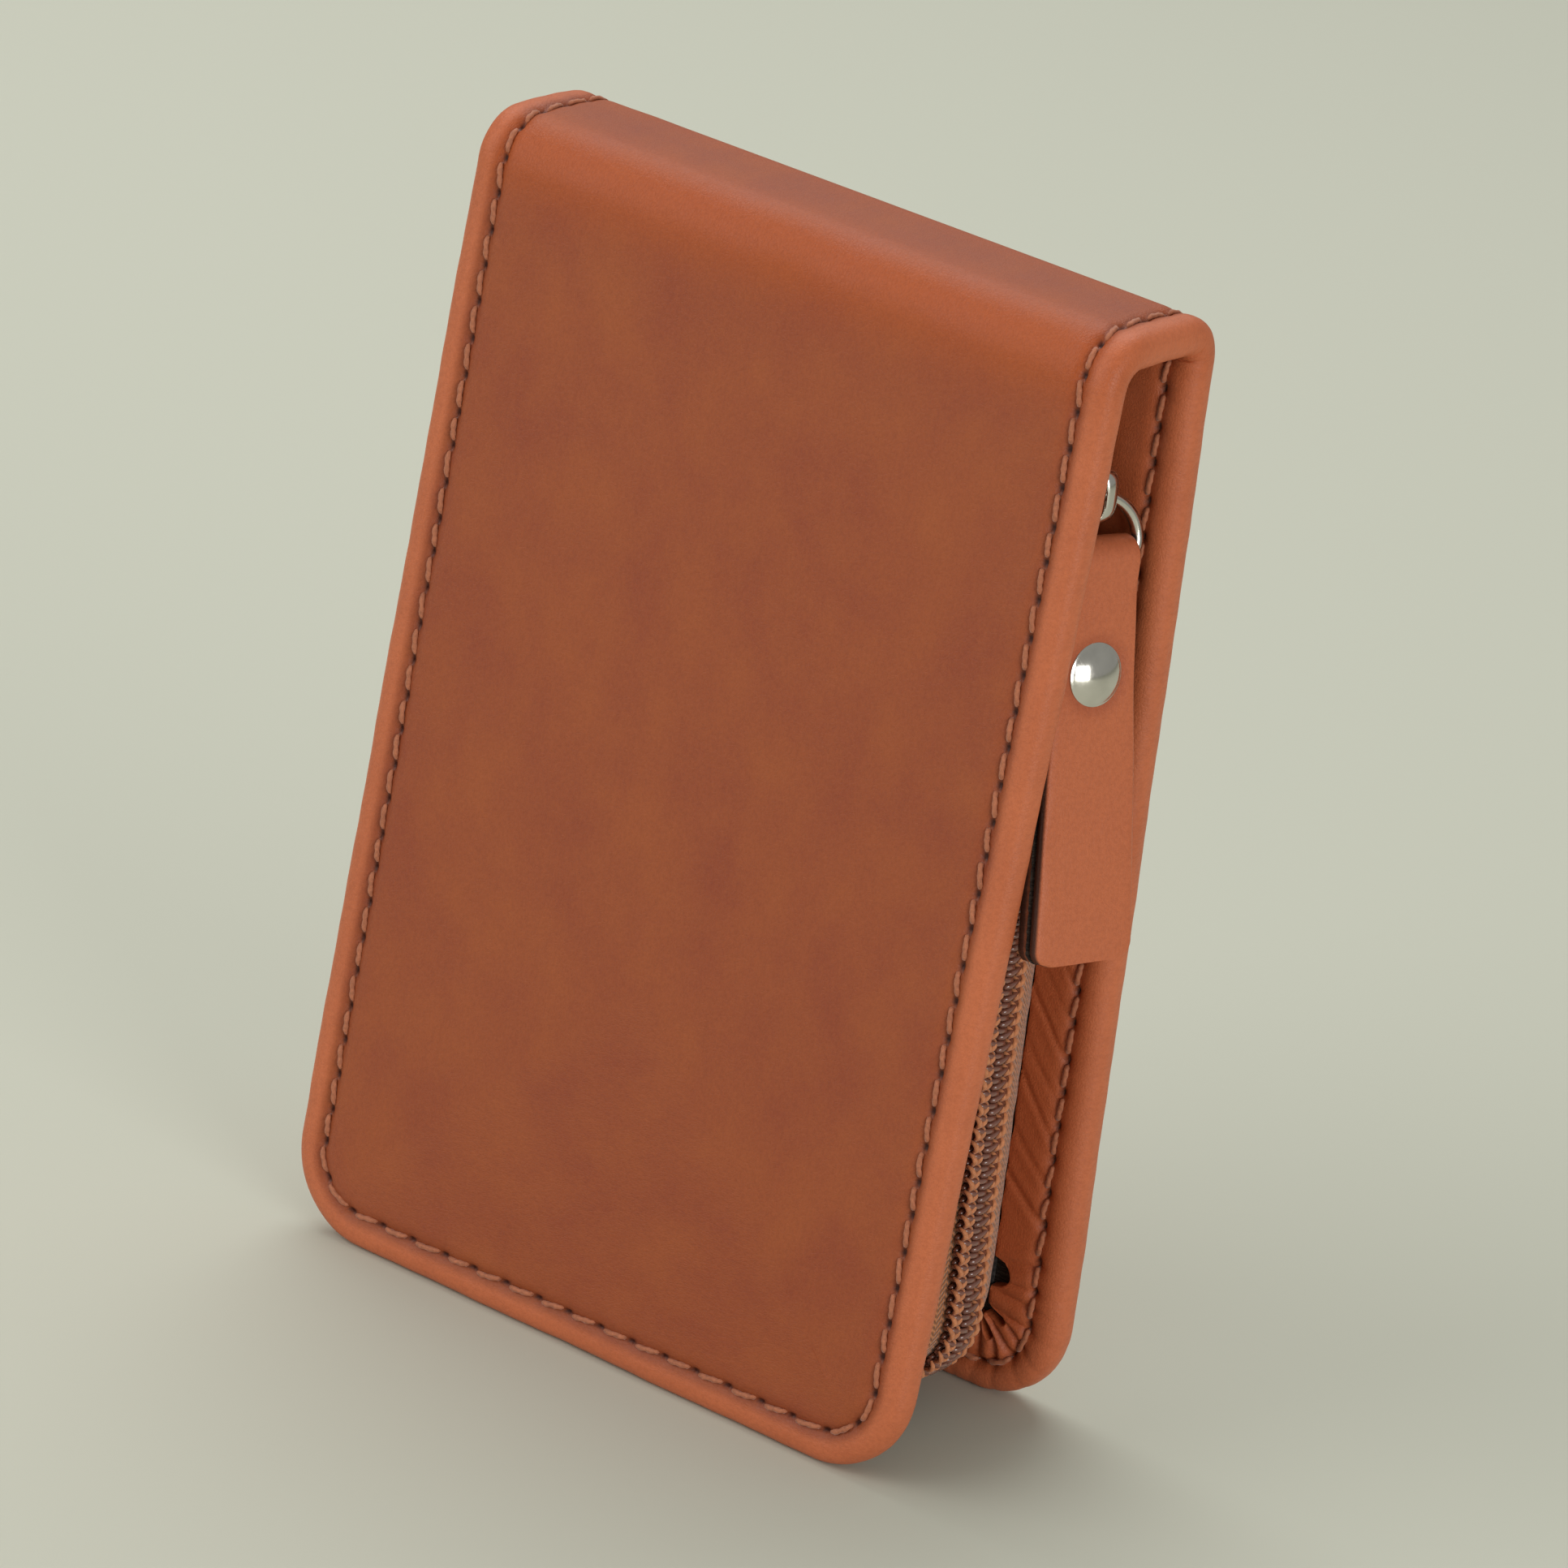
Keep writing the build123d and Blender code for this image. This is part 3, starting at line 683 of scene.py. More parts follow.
def chain_turn(inward):
    """Corner radius of the line inward of the chain's outer face, and its corner centre (x, z)."""
    sizes = zip_sizes()
    radius = sizes.corner - inward
    z = sizes.foot + inward + radius
    reach = HALF_WIDTH - sizes.inset - (inward + radius) / math.cos(sizes.slant)
    return radius, reach - z * math.tan(sizes.slant), z


def chain_spans(inward, top):
    """Lengths of a side, a corner and half the foot of the line inward of the chain."""
    slant = zip_sizes().slant
    radius, x, z = chain_turn(inward)
    side = (top - z - radius * math.sin(slant)) / math.cos(slant)
    return side, radius * (math.pi / 2 + slant), x


def chain_line(a, inward, top):
    """x, z and outward normal (x, z) at length a along the chain: down a side that leans in
    towards the top, round a corner, along the foot and up the other side."""
    slant = zip_sizes().slant
    radius, centre_x, centre_z = chain_turn(inward)
    side, arc, foot = chain_spans(inward, top)
    half = side + arc + foot
    run = half - np.abs(a - half)
    right = np.where(a < half, 1.0, -1.0)
    angle = slant - np.clip(run - side, 0, arc) / radius
    up = np.maximum(side - run, 0)
    x = centre_x + radius * np.cos(angle) - np.maximum(run - side - arc, 0) - up * math.sin(slant)
    z = centre_z + radius * np.sin(angle) + up * math.cos(slant)
    return right * x, z, right * np.cos(angle), np.sin(angle)


def span_steps(spans, counts):
    """Lengths at even steps within each of the five spans of a U."""
    lengths = [spans[0], spans[1], 2 * spans[2], spans[1], spans[0]]
    starts = np.cumsum([0, *lengths[:-1]])
    counts = [*counts, *counts[1::-1]]
    steps = [start + long * np.arange(count) / count
             for start, long, count in zip(starts, lengths, counts)]
    return np.append(np.concatenate(steps), sum(lengths))


def tape_sheet(side, more):
    """One face of half a tape: flat under the chain, then a ruled surface out to the cover. more
    is how far inward the face lies of the tape's outer face."""
    sizes = zip_sizes()
    counts = (220, 40, 60)
    inward = sizes.thick + more
    near = span_steps(chain_spans(inward, sizes.tape_top), counts)
    x, z, out_x, out_z = chain_line(near, inward, sizes.tape_top)
    inset, corner = sizes.tuck + more, sizes.tuck_corner - more
    spans = (sizes.tape_top - corner - inset, corner * math.pi / 2, HALF_WIDTH - inset - corner)
    far = span_steps(spans, counts)
    far_x, far_s, _, _ = outline_point(far, inset, corner + inset, sizes.tape_top)
    edge = wrap_point(side, far_x, far_s, case().wall - TAPE_LAP)
    sign = SIGN[side]
    start = stacked(CENTRE_X + x, sign * sizes.tape_flat, z)
    flat = np.linspace(TAPE_START, sizes.tape_flat, 7)[:-1]
    under = stacked(CENTRE_X + x, sign * flat[:, None], z)
    t = np.linspace(0, 1, 13)[:, None]
    slope = start + (edge - start) * t[..., None]
    swell = TAPE_BELLY * np.sin(np.pi * t)
    slope[..., 0] += swell * out_x
    slope[..., 2] += swell * out_z
    across = np.append(flat, sizes.tape_flat + np.linspace(0, 1, 13) * TAPE_SLOPE)
    return np.concatenate([under, slope]), near, across


def tape_half(side, material):
    """Half the zip's tape: two faces a tape's thickness apart, joined along their edges."""
    outer, a, across = tape_sheet(side, 0.0)
    inner, _, _ = tape_sheet(side, zip_sizes().tape)
    ripple = 0.06 * MM * waves(a, [5.1 * MM, 3.4 * MM, 8.7 * MM], 41)
    ripple = ripple * step(5 * MM, 9 * MM, across[:, None])
    outer[..., 0] += ripple * np.sign(outer[..., 0] - CENTRE_X)
    points = np.concatenate([outer, inner[::-1]])
    run = np.concatenate([across, across[::-1]])[:, None]
    weave = stacked(a, run, 0.0)
    faces = grid_faces(len(points), len(a), closed_rows=True)
    return build(f"{side}_zip_tape", points, faces, material, {"weave": weave}, sharp=60, fill=True)


def chain_frame(a, high, y):
    """Point of the chain at length a, height above its tape and distance y from its middle."""
    sizes = zip_sizes()
    x, z, out_x, out_z = chain_line(a, sizes.thick, sizes.coil_top)
    return stacked(CENTRE_X + x + out_x * high, y, z + out_z * high)


def chain_turns(side):
    """Lengths along the chain of its turns; the two halves are half a pitch apart."""
    sizes = zip_sizes()
    total = 2 * sum(chain_spans(sizes.thick, sizes.coil_top))
    count = int(total / sizes.pitch)
    pitch = total / count
    return (np.arange(count) + TURN_START[side])[:, None] * pitch, pitch


def coil_half(side, material):
    """Half the coil: each turn of monofilament runs out over the tape to a head that reaches
    past the middle, and back underneath. A turn is drawn through points given across and high
    in millimetres and along in pitches."""
    sizes = zip_sizes()
    sign = SIGN[side]
    turns, pitch = chain_turns(side)
    across = np.array([2.35, 2.0, 1.35, 0.6, -0.05, -0.38, -0.36, 0.0, 0.8, 1.7, 2.2])
    high = np.array([0.35, 0.85, 1.22, 1.3, 1.28, 1.08, 0.78, 0.5, 0.36, 0.34, 0.34])
    along = np.array([-0.34, -0.3, -0.18, -0.06, 0.0, 0.04, 0.08, 0.14, 0.26, 0.4, 0.5])
    centres = chain_frame(turns + along * pitch, high * MM, sign * across * MM)
    middle = chain_frame(turns + along * pitch, 0.8 * MM + 0 * high, sign * 1.0 * MM + 0 * across)
    taper = np.array([0.6] + [1.0] * 3 + [1.1, 1.15, 1.1] + [1.0] * 3 + [0.6])
    points = tubes(centres, unit(centres - middle), sizes.wire * taper, sizes.wire * taper, sides=6)
    return build_tubes(f"{side}_zip_coil", points, material)


def chain_stitch(side, material):
    """The looped sewing that holds half the coil to its tape: a column of V-shaped loops."""
    sign = SIGN[side]
    turns, pitch = chain_turns(side)
    t = np.linspace(0, 1, 7)
    grids = []
    for arm in (-1, 1):
        a = turns + pitch * (-0.55 + 1.15 * t)
        y = sign * (1.72 * MM + arm * MM * (0.62 - 0.56 * t**1.3))
        arch = 0.34 * np.sin(np.pi * np.minimum(t * 1.15, 1))
        high = (0.98 + arch - 0.30 * (np.abs(2 * t - 1) ** 4)) * MM
        centres = chain_frame(a, high, np.broadcast_to(y, a.shape))
        base = chain_frame(a, high - MM, np.broadcast_to(y, a.shape))
        taper = 1 - 0.55 * np.abs(2 * t - 1) ** 3
        grids.append(tubes(centres, unit(centres - base), LOOP_WIDE * taper, LOOP_HIGH * taper,
                           sides=6))
    return build_tubes(f"{side}_chain_stitch", np.concatenate(grids), material)


# --- slider, ring, tab and rivet ----------------------------------------------

TAPE_ROOM = 0.8 * MM  # what the slider leaves for the tape below the chain
TAB_NECK = 3.4 * MM  # below the bar, where the tab's legs meet its core
TAB_CORNER = 1.6 * MM  # radius of the corners at the tab's free end
TAB_RIM = 0.42 * MM  # how far in from its side the tab's rim starts to round
RING_BEND = 1.2 * MM  # radius of the two bends beside the bar
BACK_CAP = 2.7  # radius of the rivet's flat cap in millimetres
CAP_ROLL = 0.12  # radius of the domed cap's rolled rim in millimetres


def pull_frame():
    """Origin at the ring's bar; axes along the bar, up the ring, and out from its face."""
    sizes = pull()
    swing = np.array(JOINTS["ring_swing"]["pos_m"])
    bar = np.array(JOINTS["tab_swing"]["pos_m"])
    along = -np.array(JOINTS["tab_swing"]["axis"])
    up = unit(swing + along * sizes.ring_slip - bar)
    out = np.cross(along, up)
    return bar, along, up, out


def in_pull(along, up, out):
    """World places of points given along the bar, up the ring and out from its face."""
    origin, e_along, e_up, e_out = pull_frame()
    along, up, out = np.broadcast_arrays(along, up, out)
    return origin + along[..., None] * e_along + up[..., None] * e_up + out[..., None] * e_out


def rounded_loop(corners, radii, steps):
    """Closed loop of straight lines and arcs: each corner of a polygon is replaced by an arc."""
    points = []
    count = len(corners)
    for index in range(count):
        before, here, after = (np.array(corners[(index + k) % count]) for k in (-1, 0, 1))
        one, two = unit(before - here), unit(after - here)
        half = math.acos(np.clip(one @ two, -1, 1)) / 2
        reach = radii[index] / math.tan(half)
        centre = here + unit(one + two) * radii[index] / math.sin(half)
        start, end = here + one * reach - centre, here + two * reach - centre
        sweep = math.atan2(start[0] * end[1] - start[1] * end[0], start @ end)
        angle = np.linspace(0, sweep, steps)
        turned = np.stack(
            [start[0] * np.cos(angle) - start[1] * np.sin(angle),
             start[0] * np.sin(angle) + start[1] * np.cos(angle)], axis=-1)
        points.append(centre + turned)
    return np.concatenate(points)


def plate(loop, thick, edge, to_world):
    """A plate inside a loop with rounded rims: the loop drawn in by the rim's quarter circle at
    both faces; the faces are left open here and filled when the piece is built."""
    angle = np.linspace(0, np.pi / 2, 4)
    draw = np.concatenate([edge * (1 - np.sin(angle)), edge * (1 - np.cos(angle))])
    level = np.concatenate([edge * (1 - np.cos(angle)), thick - edge * (1 - np.sin(angle))])
    middle = (loop.max(axis=0) + loop.min(axis=0)) / 2
    normal = np.roll(loop, -1, axis=0) - np.roll(loop, 1, axis=0)
    normal = unit(np.stack([-normal[:, 1], normal[:, 0]], axis=-1))
    normal *= np.sign(np.sum(normal * (middle - loop), axis=-1).mean())
    rows = loop[None] + normal[None] * draw[:, None, None]
    points = to_world(rows, np.broadcast_to(level[:, None], rows.shape[:2]))
    return points, grid_faces(len(draw), len(loop), closed_columns=True)


def slider_place(out, y, up):
    """World places of points given out from the chain, across it and up along it."""
    slant = zip_sizes().slant
    z = pull().slider_height
    x = CENTRE_X + HALF_WIDTH - zip_sizes().inset - z * math.tan(slant)
    return stacked(x + out * math.cos(slant) - up * math.sin(slant), y,
                   z + out * math.sin(slant) + up * math.cos(slant))


def slider_piece(material):
    """The slider: two waisted plates, wide at the mouth and narrow at the tail, joined by a neck
    between the half chains."""
    sizes = pull()
    half = sizes.slider_length / 2
    wide, narrow = 3.2 * MM, 2.2 * MM
    corners = [(-narrow, -half), (narrow, -half), (narrow, -half / 3), (wide, half / 3),
               (wide, half), (-wide, half), (-wide, half / 3), (-narrow, -half / 3)]
    radii = [radius * MM for radius in (1.4, 1.4, 2.0, 2.0, 1.3, 1.3, 2.0, 2.0)]
    loop = rounded_loop(corners, radii, 7)
    under = -zip_sizes().thick - TAPE_ROOM - sizes.slider_clear - sizes.slider_plate
    grids = [
        plate(loop, sizes.slider_plate, 0.22 * MM,
              lambda flat, level, at=out: slider_place(at + level, flat[..., 0], flat[..., 1]))
        for out in (under, sizes.slider_clear)
    ]
    thin = 0.35 * MM
    corners = [(-thin, 0), (thin, 0), (thin, 3 * MM), (-thin, 3 * MM)]
    neck = rounded_loop(corners, [0.15 * MM] * 4, 4)
    span = sizes.slider_clear - under - 0.4 * MM
    grids.append(plate(neck, span, 0.05 * MM, lambda flat, level: slider_place(
        under + 0.5 * MM + level, flat[..., 0], flat[..., 1])))
    return join_grids("slider_plates", grids, material)


def join_grids(name, grids, material):
    """One piece from several (points, faces) grids."""
    start = 0
    points, faces = [], []
    for one, quads in grids:
        points.append(one.reshape(-1, 3))
        faces.append(quads + start)
        start += len(points[-1])
    return build(name, np.concatenate(points), np.concatenate(faces), material, sharp=40,
                 fill=True)


def bridge_piece(material):
    """The arch that holds the ring: a rounded strap carried over a half loop."""
    base = pull().slider_clear + pull().slider_plate
    strap = 0.6 * MM
    half, tall = 2.3 * MM + strap / 2, 2.7 * MM + strap / 2
    turn = np.linspace(0, np.pi, 41)
    lift = tall * np.abs(np.sin(turn)) ** 0.55
    run = half * powered(np.cos(turn), 0.55)
    line = slider_place(base - 0.1 * MM + lift, 0 * turn, run)[None]
    centre = slider_place(base, 0.0, 0.0)
    wide = (0.86 + 0.14 * np.abs(np.cos(turn))) * MM
    points = tubes(line, unit(line - centre), wide, strap / 2, sides=16)
    return build_tubes("slider_arch", points, material, sharp=60)


def ring_piece(material):
    """Round wire bent to a D: straight bar, two small bends, short legs and half an ellipse."""
    sizes = pull()
    half = sizes.ring_half
    turn = np.linspace(0, np.pi, 49)
    arc = np.stack([half * np.cos(turn), sizes.ring_leg + sizes.ring_rise * np.sin(turn)], axis=-1)
    left = np.linspace(np.pi, 1.5 * np.pi, 9)
    lower_left = np.stack([-half + RING_BEND + RING_BEND * np.cos(left),
                           RING_BEND + RING_BEND * np.sin(left)], axis=-1)
    lower_right = lower_left[::-1] * np.array([-1, 1])
    flat = np.concatenate([arc, lower_left, lower_right])
    centres = in_pull(flat[:, 0], flat[:, 1], 0.0)
    tangent = unit(np.roll(centres, -1, axis=0) - np.roll(centres, 1, axis=0))
    out = pull_frame()[3]
    across = np.cross(tangent, out)
    angle = circle(20)
    points = centres[:, None] + sizes.ring_wire * (
        across[:, None] * np.cos(angle)[None, :, None] + out * np.sin(angle)[None, :, None])
    faces = grid_faces(len(flat), len(angle), closed_rows=True, closed_columns=True)
    return build("ring_wire", points, faces, material, sharp=180)


def tab_half_width(down):
    """Half width of the tab at a distance below the bar: widening evenly to its end, drawn in a
    little at the rivet, with rounded lower corners."""
    sizes = pull()
    share = np.clip(down / sizes.tab_length, 0, 1)
    half = (sizes.tab_width + (sizes.tab_end_width - sizes.tab_width) * share) / 2
    half = half - 0.16 * MM * bell(down - sizes.rivet_drop * 1.15, 4.5 * MM)
    past = np.clip(down - (sizes.tab_length - TAB_CORNER), 0, TAB_CORNER)
    return half - (TAB_CORNER - np.sqrt(np.maximum(TAB_CORNER**2 - past**2, 0)))


def tab_piece(material):
    """The tab: a strip of hide down the front, over the ring's bar and down the back. Its
    section has rounded rims, and the rivet dimples both its faces."""
    sizes = pull()
    hide = case().hide
    leg_out = sizes.tab_core / 2 + hide / 2
    bar = sizes.ring_wire + 0.1 * MM + hide / 2
    down = TAB_NECK + (sizes.tab_length - TAB_NECK) * np.linspace(0, 1, 92)
    turn = np.linspace(0, np.pi, 41)
    ease = step(0, 1, np.linspace(0, 1, 12))
    lead = np.stack([bar + (leg_out - bar) * ease, np.linspace(0, TAB_NECK, 12)], axis=-1)
    front = np.stack([np.full(len(down), leg_out), down], axis=-1)
    loop = np.stack([bar * np.cos(turn), -bar * np.sin(turn)], axis=-1)
    other = np.array([-1, 1])
    path = np.concatenate([front[::-1], lead[::-1][1:], loop[1:-1], (lead * other)[:-1],
                           front * other])
    tangent = unit(np.gradient(path, axis=0))
    normal = np.stack([-tangent[:, 1], tangent[:, 0]], axis=-1)
    turn_rim = np.linspace(-np.pi / 2, np.pi / 2, 9)
    wide = np.linspace(-1, 1, 15)
    across = np.concatenate([wide, np.ones(9), np.linspace(1, -1, 15), -np.ones(9)])
    over = np.concatenate([np.ones(15), np.sin(-turn_rim), -np.ones(15), np.sin(turn_rim)])
    bulge = np.concatenate([np.zeros(15), np.cos(turn_rim), np.zeros(15), -np.cos(turn_rim)])
    half = tab_half_width(path[:, 1])[:, None]
    along = across * (half - TAB_RIM) + bulge * TAB_RIM
    from_rivet = np.hypot(along, path[:, 1:2] - sizes.rivet_drop)
    below = path[:, 1:2] > 0
    past_cap = np.maximum(from_rivet - sizes.rivet_radius * 0.8, 0)
    dimple = -0.22 * MM * bell(past_cap, 1.3 * MM) * below
    face = np.where(over > 0, 1.0, -1.0)
    soft = 0.05 * MM * waves(path[:, 1:2] + 0.4 * along, [13 * MM, 7 * MM], 51)
    crown = 0.10 * MM * (1 - (along / half) ** 2)
    lift = over * hide / 2 + (over == 1) * (dimple + soft + crown)
    place = path[:, None, :] + normal[:, None, :] * lift[..., None]
    points = in_pull(along, -place[..., 1], place[..., 0])
    marks = {
        "flat": stacked(along, path[:, 1:2], face * MM),
        "cut": np.broadcast_to(1 - over**2, along.shape),
        # darker in a narrow ring at the rivet cap's rim
        "dark_round_rivet": bell(from_rivet - sizes.rivet_radius, 0.8 * MM) * below,
    }
    faces = grid_faces(len(path), along.shape[1], closed_columns=True)
    return build("tab_leather", points, faces, material, marks, sharp=60, fill=True)


def core_piece(material):
    """The dark pressed fibre between the tab's legs, standing a hair proud with a rough rim."""
    sizes = pull()
    down = np.linspace(TAB_NECK, sizes.tab_length, 260)[:, None]
    half = tab_half_width(down)
    rough = 0.07 * MM * waves(down, [1.1 * MM, 0.7 * MM, 2.3 * MM], 61)
    angle = circle(12)
    along = (half + 0.02 * MM + rough) * powered(np.cos(angle), 0.35)
    points = in_pull(along, -down, sizes.tab_core / 2 * powered(np.sin(angle), 0.8))
    faces = grid_faces(len(down), len(angle), closed_columns=True)
    return build("tab_fibre_core", points, faces, material, sharp=60, fill=True)


def turned(name, profile, centre_up, material):
    """A turned piece: a profile of (radius, height out) carried round the rivet's axis."""
    angle = circle(64)
    radius, height = np.array(profile).T[:, :, None] * MM
    points = in_pull(radius * np.cos(angle), centre_up + radius * np.sin(angle), height)
    faces = grid_faces(len(profile), len(angle), closed_columns=True)
    return build(name, points, faces, material, sharp=50, fill=True)


def rivet_pieces(material):
    """Cap rivet: a domed cap with a rolled-in rim on the face, a flat cap on the back."""
    sizes = pull()
    face = (sizes.tab_core / 2 + case().hide) / MM
    radius = sizes.rivet_radius / MM
    dome = sizes.rivet_dome / MM
    flat = radius - CAP_ROLL
    ball = (flat**2 + dome**2) / (2 * dome)
    cap = [(r, face + dome - ball + math.sqrt(ball**2 - r**2)) for r in np.linspace(0, flat, 18)]
    rim = [(flat + CAP_ROLL * math.sin(t), face - CAP_ROLL + CAP_ROLL * math.cos(t))
           for t in np.linspace(0.5, 2.6, 6)]
    stem = [(1.0, face - 0.3), (1.0, -face + 0.3), (0, -face + 0.3)]
    back = [(0, -face), (BACK_CAP - 0.25, -face), (BACK_CAP, -face - 0.15),
            (BACK_CAP - 0.1, -face - 0.32), (BACK_CAP - 0.5, -face - 0.4), (1.4, -face - 0.4),
            (1.0, -face - 0.28), (0, -face - 0.26)]
    return (
        turned("rivet_dome", cap + rim + stem, -sizes.rivet_drop, material),
        turned("rivet_washer", back, -sizes.rivet_drop, material),
    )


# --- finishes -----------------------------------------------------------------


def rgba(value):
    return (*value, 1.0)


def scaled(tone, share):
    return tuple(value * share for value in tone)


class Finish:
    """A new material with a Principled shader, whose constant sockets are given by name, and
    the nodes that drive its other sockets."""

    def __init__(self, name, **constants):
        self.material = bpy.data.materials.new(name)
        self.material.use_nodes = True
        self.tree = self.material.node_tree
        self.shader = self.tree.nodes["Principled BSDF"]
        for socket, value in constants.items():
            self.shader.inputs[socket.replace("_", " ")].default_value = value

    def add(self, kind, inputs=None, **settings):
        """Adds a node, sets its properties, and sets or links its inputs."""
        node = self.tree.nodes.new(kind)
        for name, value in settings.items():
            setattr(node, name, value)
        for name, value in (inputs or {}).items():
            if isinstance(value, bpy.types.NodeSocket):
                self.tree.links.new(value, node.inputs[name])
            else:
                node.inputs[name].default_value = value
        return node

    def drive(self, socket, value):
        """Links a value to a socket of the shader."""
        self.tree.links.new(value, self.shader.inputs[socket])

    def mark(self, name, output="Vector"):
        """What the mesh carries at each of its points under this name."""
        return self.add("ShaderNodeAttribute", attribute_name=name).outputs[output]

    def place(self):
        """Place on the piece, in metres."""
        return self.add("ShaderNodeTexCoord").outputs["Object"]

    def mapped(self, **inputs):
        """Place on the piece, turned or stretched."""
        return self.add("ShaderNodeMapping", {"Vector": self.place(), **inputs}).outputs[0]

    def parts(self, vector):
        return tuple(self.add("ShaderNodeSeparateXYZ", {0: vector}).outputs)

    def mix(self, factor, one, two, mode="MIX"):
        """Mix of two colours, each a socket or linear red, green and blue."""
        sides = [value if isinstance(value, bpy.types.NodeSocket) else rgba(value)
                 for value in (one, two)]
        inputs = {0: factor, 6: sides[0], 7: sides[1]}
        return self.add("ShaderNodeMix", inputs, data_type="RGBA", blend_type=mode).outputs[2]

    def tint(self, factor, one, two):
        """Base colour that runs from one colour to the other."""
        self.drive("Base Color", self.mix(factor, one, two))

    def maths(self, operation, one, two=0.0):
        return self.add("ShaderNodeMath", {0: one, 1: two}, operation=operation).outputs[0]

    def times(self, one, two):
        return self.maths("MULTIPLY", one, two)

    def plus(self, one, two):
        return self.maths("ADD", one, two)

    def ribs(self, run, pitch_mm):
        """Sine wave of this pitch along a run in metres."""
        return self.maths("SINE", self.times(run, 2 * math.pi / (pitch_mm * MM)))

    def noise(self, place, size_mm, detail=2.0, roughness=0.5):
        """Noise with patches about size_mm across, on a place in metres."""
        inputs = {"Vector": place, "Scale": 1 / (size_mm * MM), "Detail": detail,
                  "Roughness": roughness}
        return self.add("ShaderNodeTexNoise", inputs).outputs["Fac"]

    def ramp(self, value, low, high):
        """0 below low and 1 above high."""
        inputs = {"Value": value, "From Min": low, "From Max": high}
        return self.add("ShaderNodeMapRange", inputs, clamp=True).outputs[0]

    def roughness(self, value, smooth, rough):
        """Roughness that runs from smooth at 0 to rough at 1."""
        spread = self.add("ShaderNodeMapRange", {"Value": value, "To Min": smooth, "To Max": rough})
        self.drive("Roughness", spread.outputs[0])

    def bump(self, height, deep_mm, strength):
        inputs = {"Height": height, "Distance": deep_mm * MM, "Strength": strength}
        self.drive("Normal", self.add("ShaderNodeBump", inputs).outputs[0])


def leather(name, wrap_edges=True):
    """Waxed vegetable-tanned cowhide: clouded brown with a close fine grain and a soft wax shine.
    On the
    wrap, painted light: a highlight on the rolls, a lighter border, an orange reflection at the
    folds and shade in the needle holes; on the tab, the strip painted lighter."""
    tones = colours()
    hide = Finish(name, Roughness=0.5, IOR=1.5, Specular_IOR_Level=0.32, Coat_Weight=0.05,
                  Coat_Roughness=0.36)
    flat = hide.mark("flat")
    cloud = hide.ramp(hide.noise(flat, 11.0, detail=4.0, roughness=0.6), 0.22, 0.78)
    fleck = hide.ramp(hide.noise(flat, 0.7, detail=3.0, roughness=0.65), 0.30, 0.72)
    speck = hide.ramp(hide.noise(flat, 0.45, detail=3.0, roughness=0.7), 0.42, 0.62)
    layers = [(hide.times(fleck, 0.34), tones.hide_light)]
    # On the wrap, painted light at its edges and folds, and painted shade at the seam.
    if wrap_edges:
        roll, border, fold = hide.parts(hide.mark("painted_edge_light"))
        # painted highlight along the roll, its strength varied with the cloud
        highlight_strength = hide.plus(0.62, hide.times(cloud, 0.3))
        # painted light on the turned-in border, against its shade
        layers += [(hide.times(border, 0.8), tones.painted_border_light),
                   (hide.times(roll, highlight_strength), tones.painted_highlight),
                   # painted orange reflection along the fold
                   (hide.times(fold, 0.75), tones.painted_fold_reflection),
                   # painted shade in the needle holes and along the seam
                   (hide.mark("needle", "Fac"), tones.painted_seam_shade)]
    else:
        edge = hide.ramp(hide.mark("cut", "Fac"), 0.25, 0.7)
        # painted light: the whole strip is tinted lighter than the wrap's face, standing for the
        # light that falls on it
        layers += [(0.72, tones.painted_highlight),
                   # darker in a narrow ring at the rivet cap's rim
                   (hide.times(hide.mark("dark_round_rivet", "Fac"), 0.45), tones.hide_dark),
                   (hide.times(edge, 0.9), tones.fibre)]
    base = hide.mix(cloud, tones.hide_dark, tones.hide_light)
    for factor, tone in layers:
        base = hide.mix(factor, base, tone)
    base = hide.mix(hide.times(speck, 0.24), base, SPECK_SHADE, "MULTIPLY")
    hide.drive("Base Color", base)
    cells = hide.add("ShaderNodeTexVoronoi", {"Vector": flat, "Scale": 1 / (0.42 * MM)},
                     feature="DISTANCE_TO_EDGE").outputs["Distance"]
    grain = hide.times(hide.ramp(cells, 0.0, 0.16), 0.5)
    fine = hide.times(hide.noise(flat, 0.18), 0.6)
    hide.bump(hide.plus(grain, fine), 0.05, 0.7)
    hide.roughness(cloud, 0.44, 0.56)
    return hide.material


def waxed_thread(name, tone):
    """Waxed polyester sewing thread: matt, with fine fibres that catch the light."""
    thread = Finish(name, Roughness=0.62, Specular_IOR_Level=0.35, Sheen_Weight=0.25,
                    Sheen_Roughness=0.4)
    place = thread.place()
    shade = thread.ramp(thread.noise(place, 0.35, detail=3.0), 0.25, 0.75)
    thread.tint(shade, scaled(tone, 0.62), tone)
    thread.bump(thread.noise(place, 0.12, detail=3.0), 0.05, 0.7)
    return thread.material


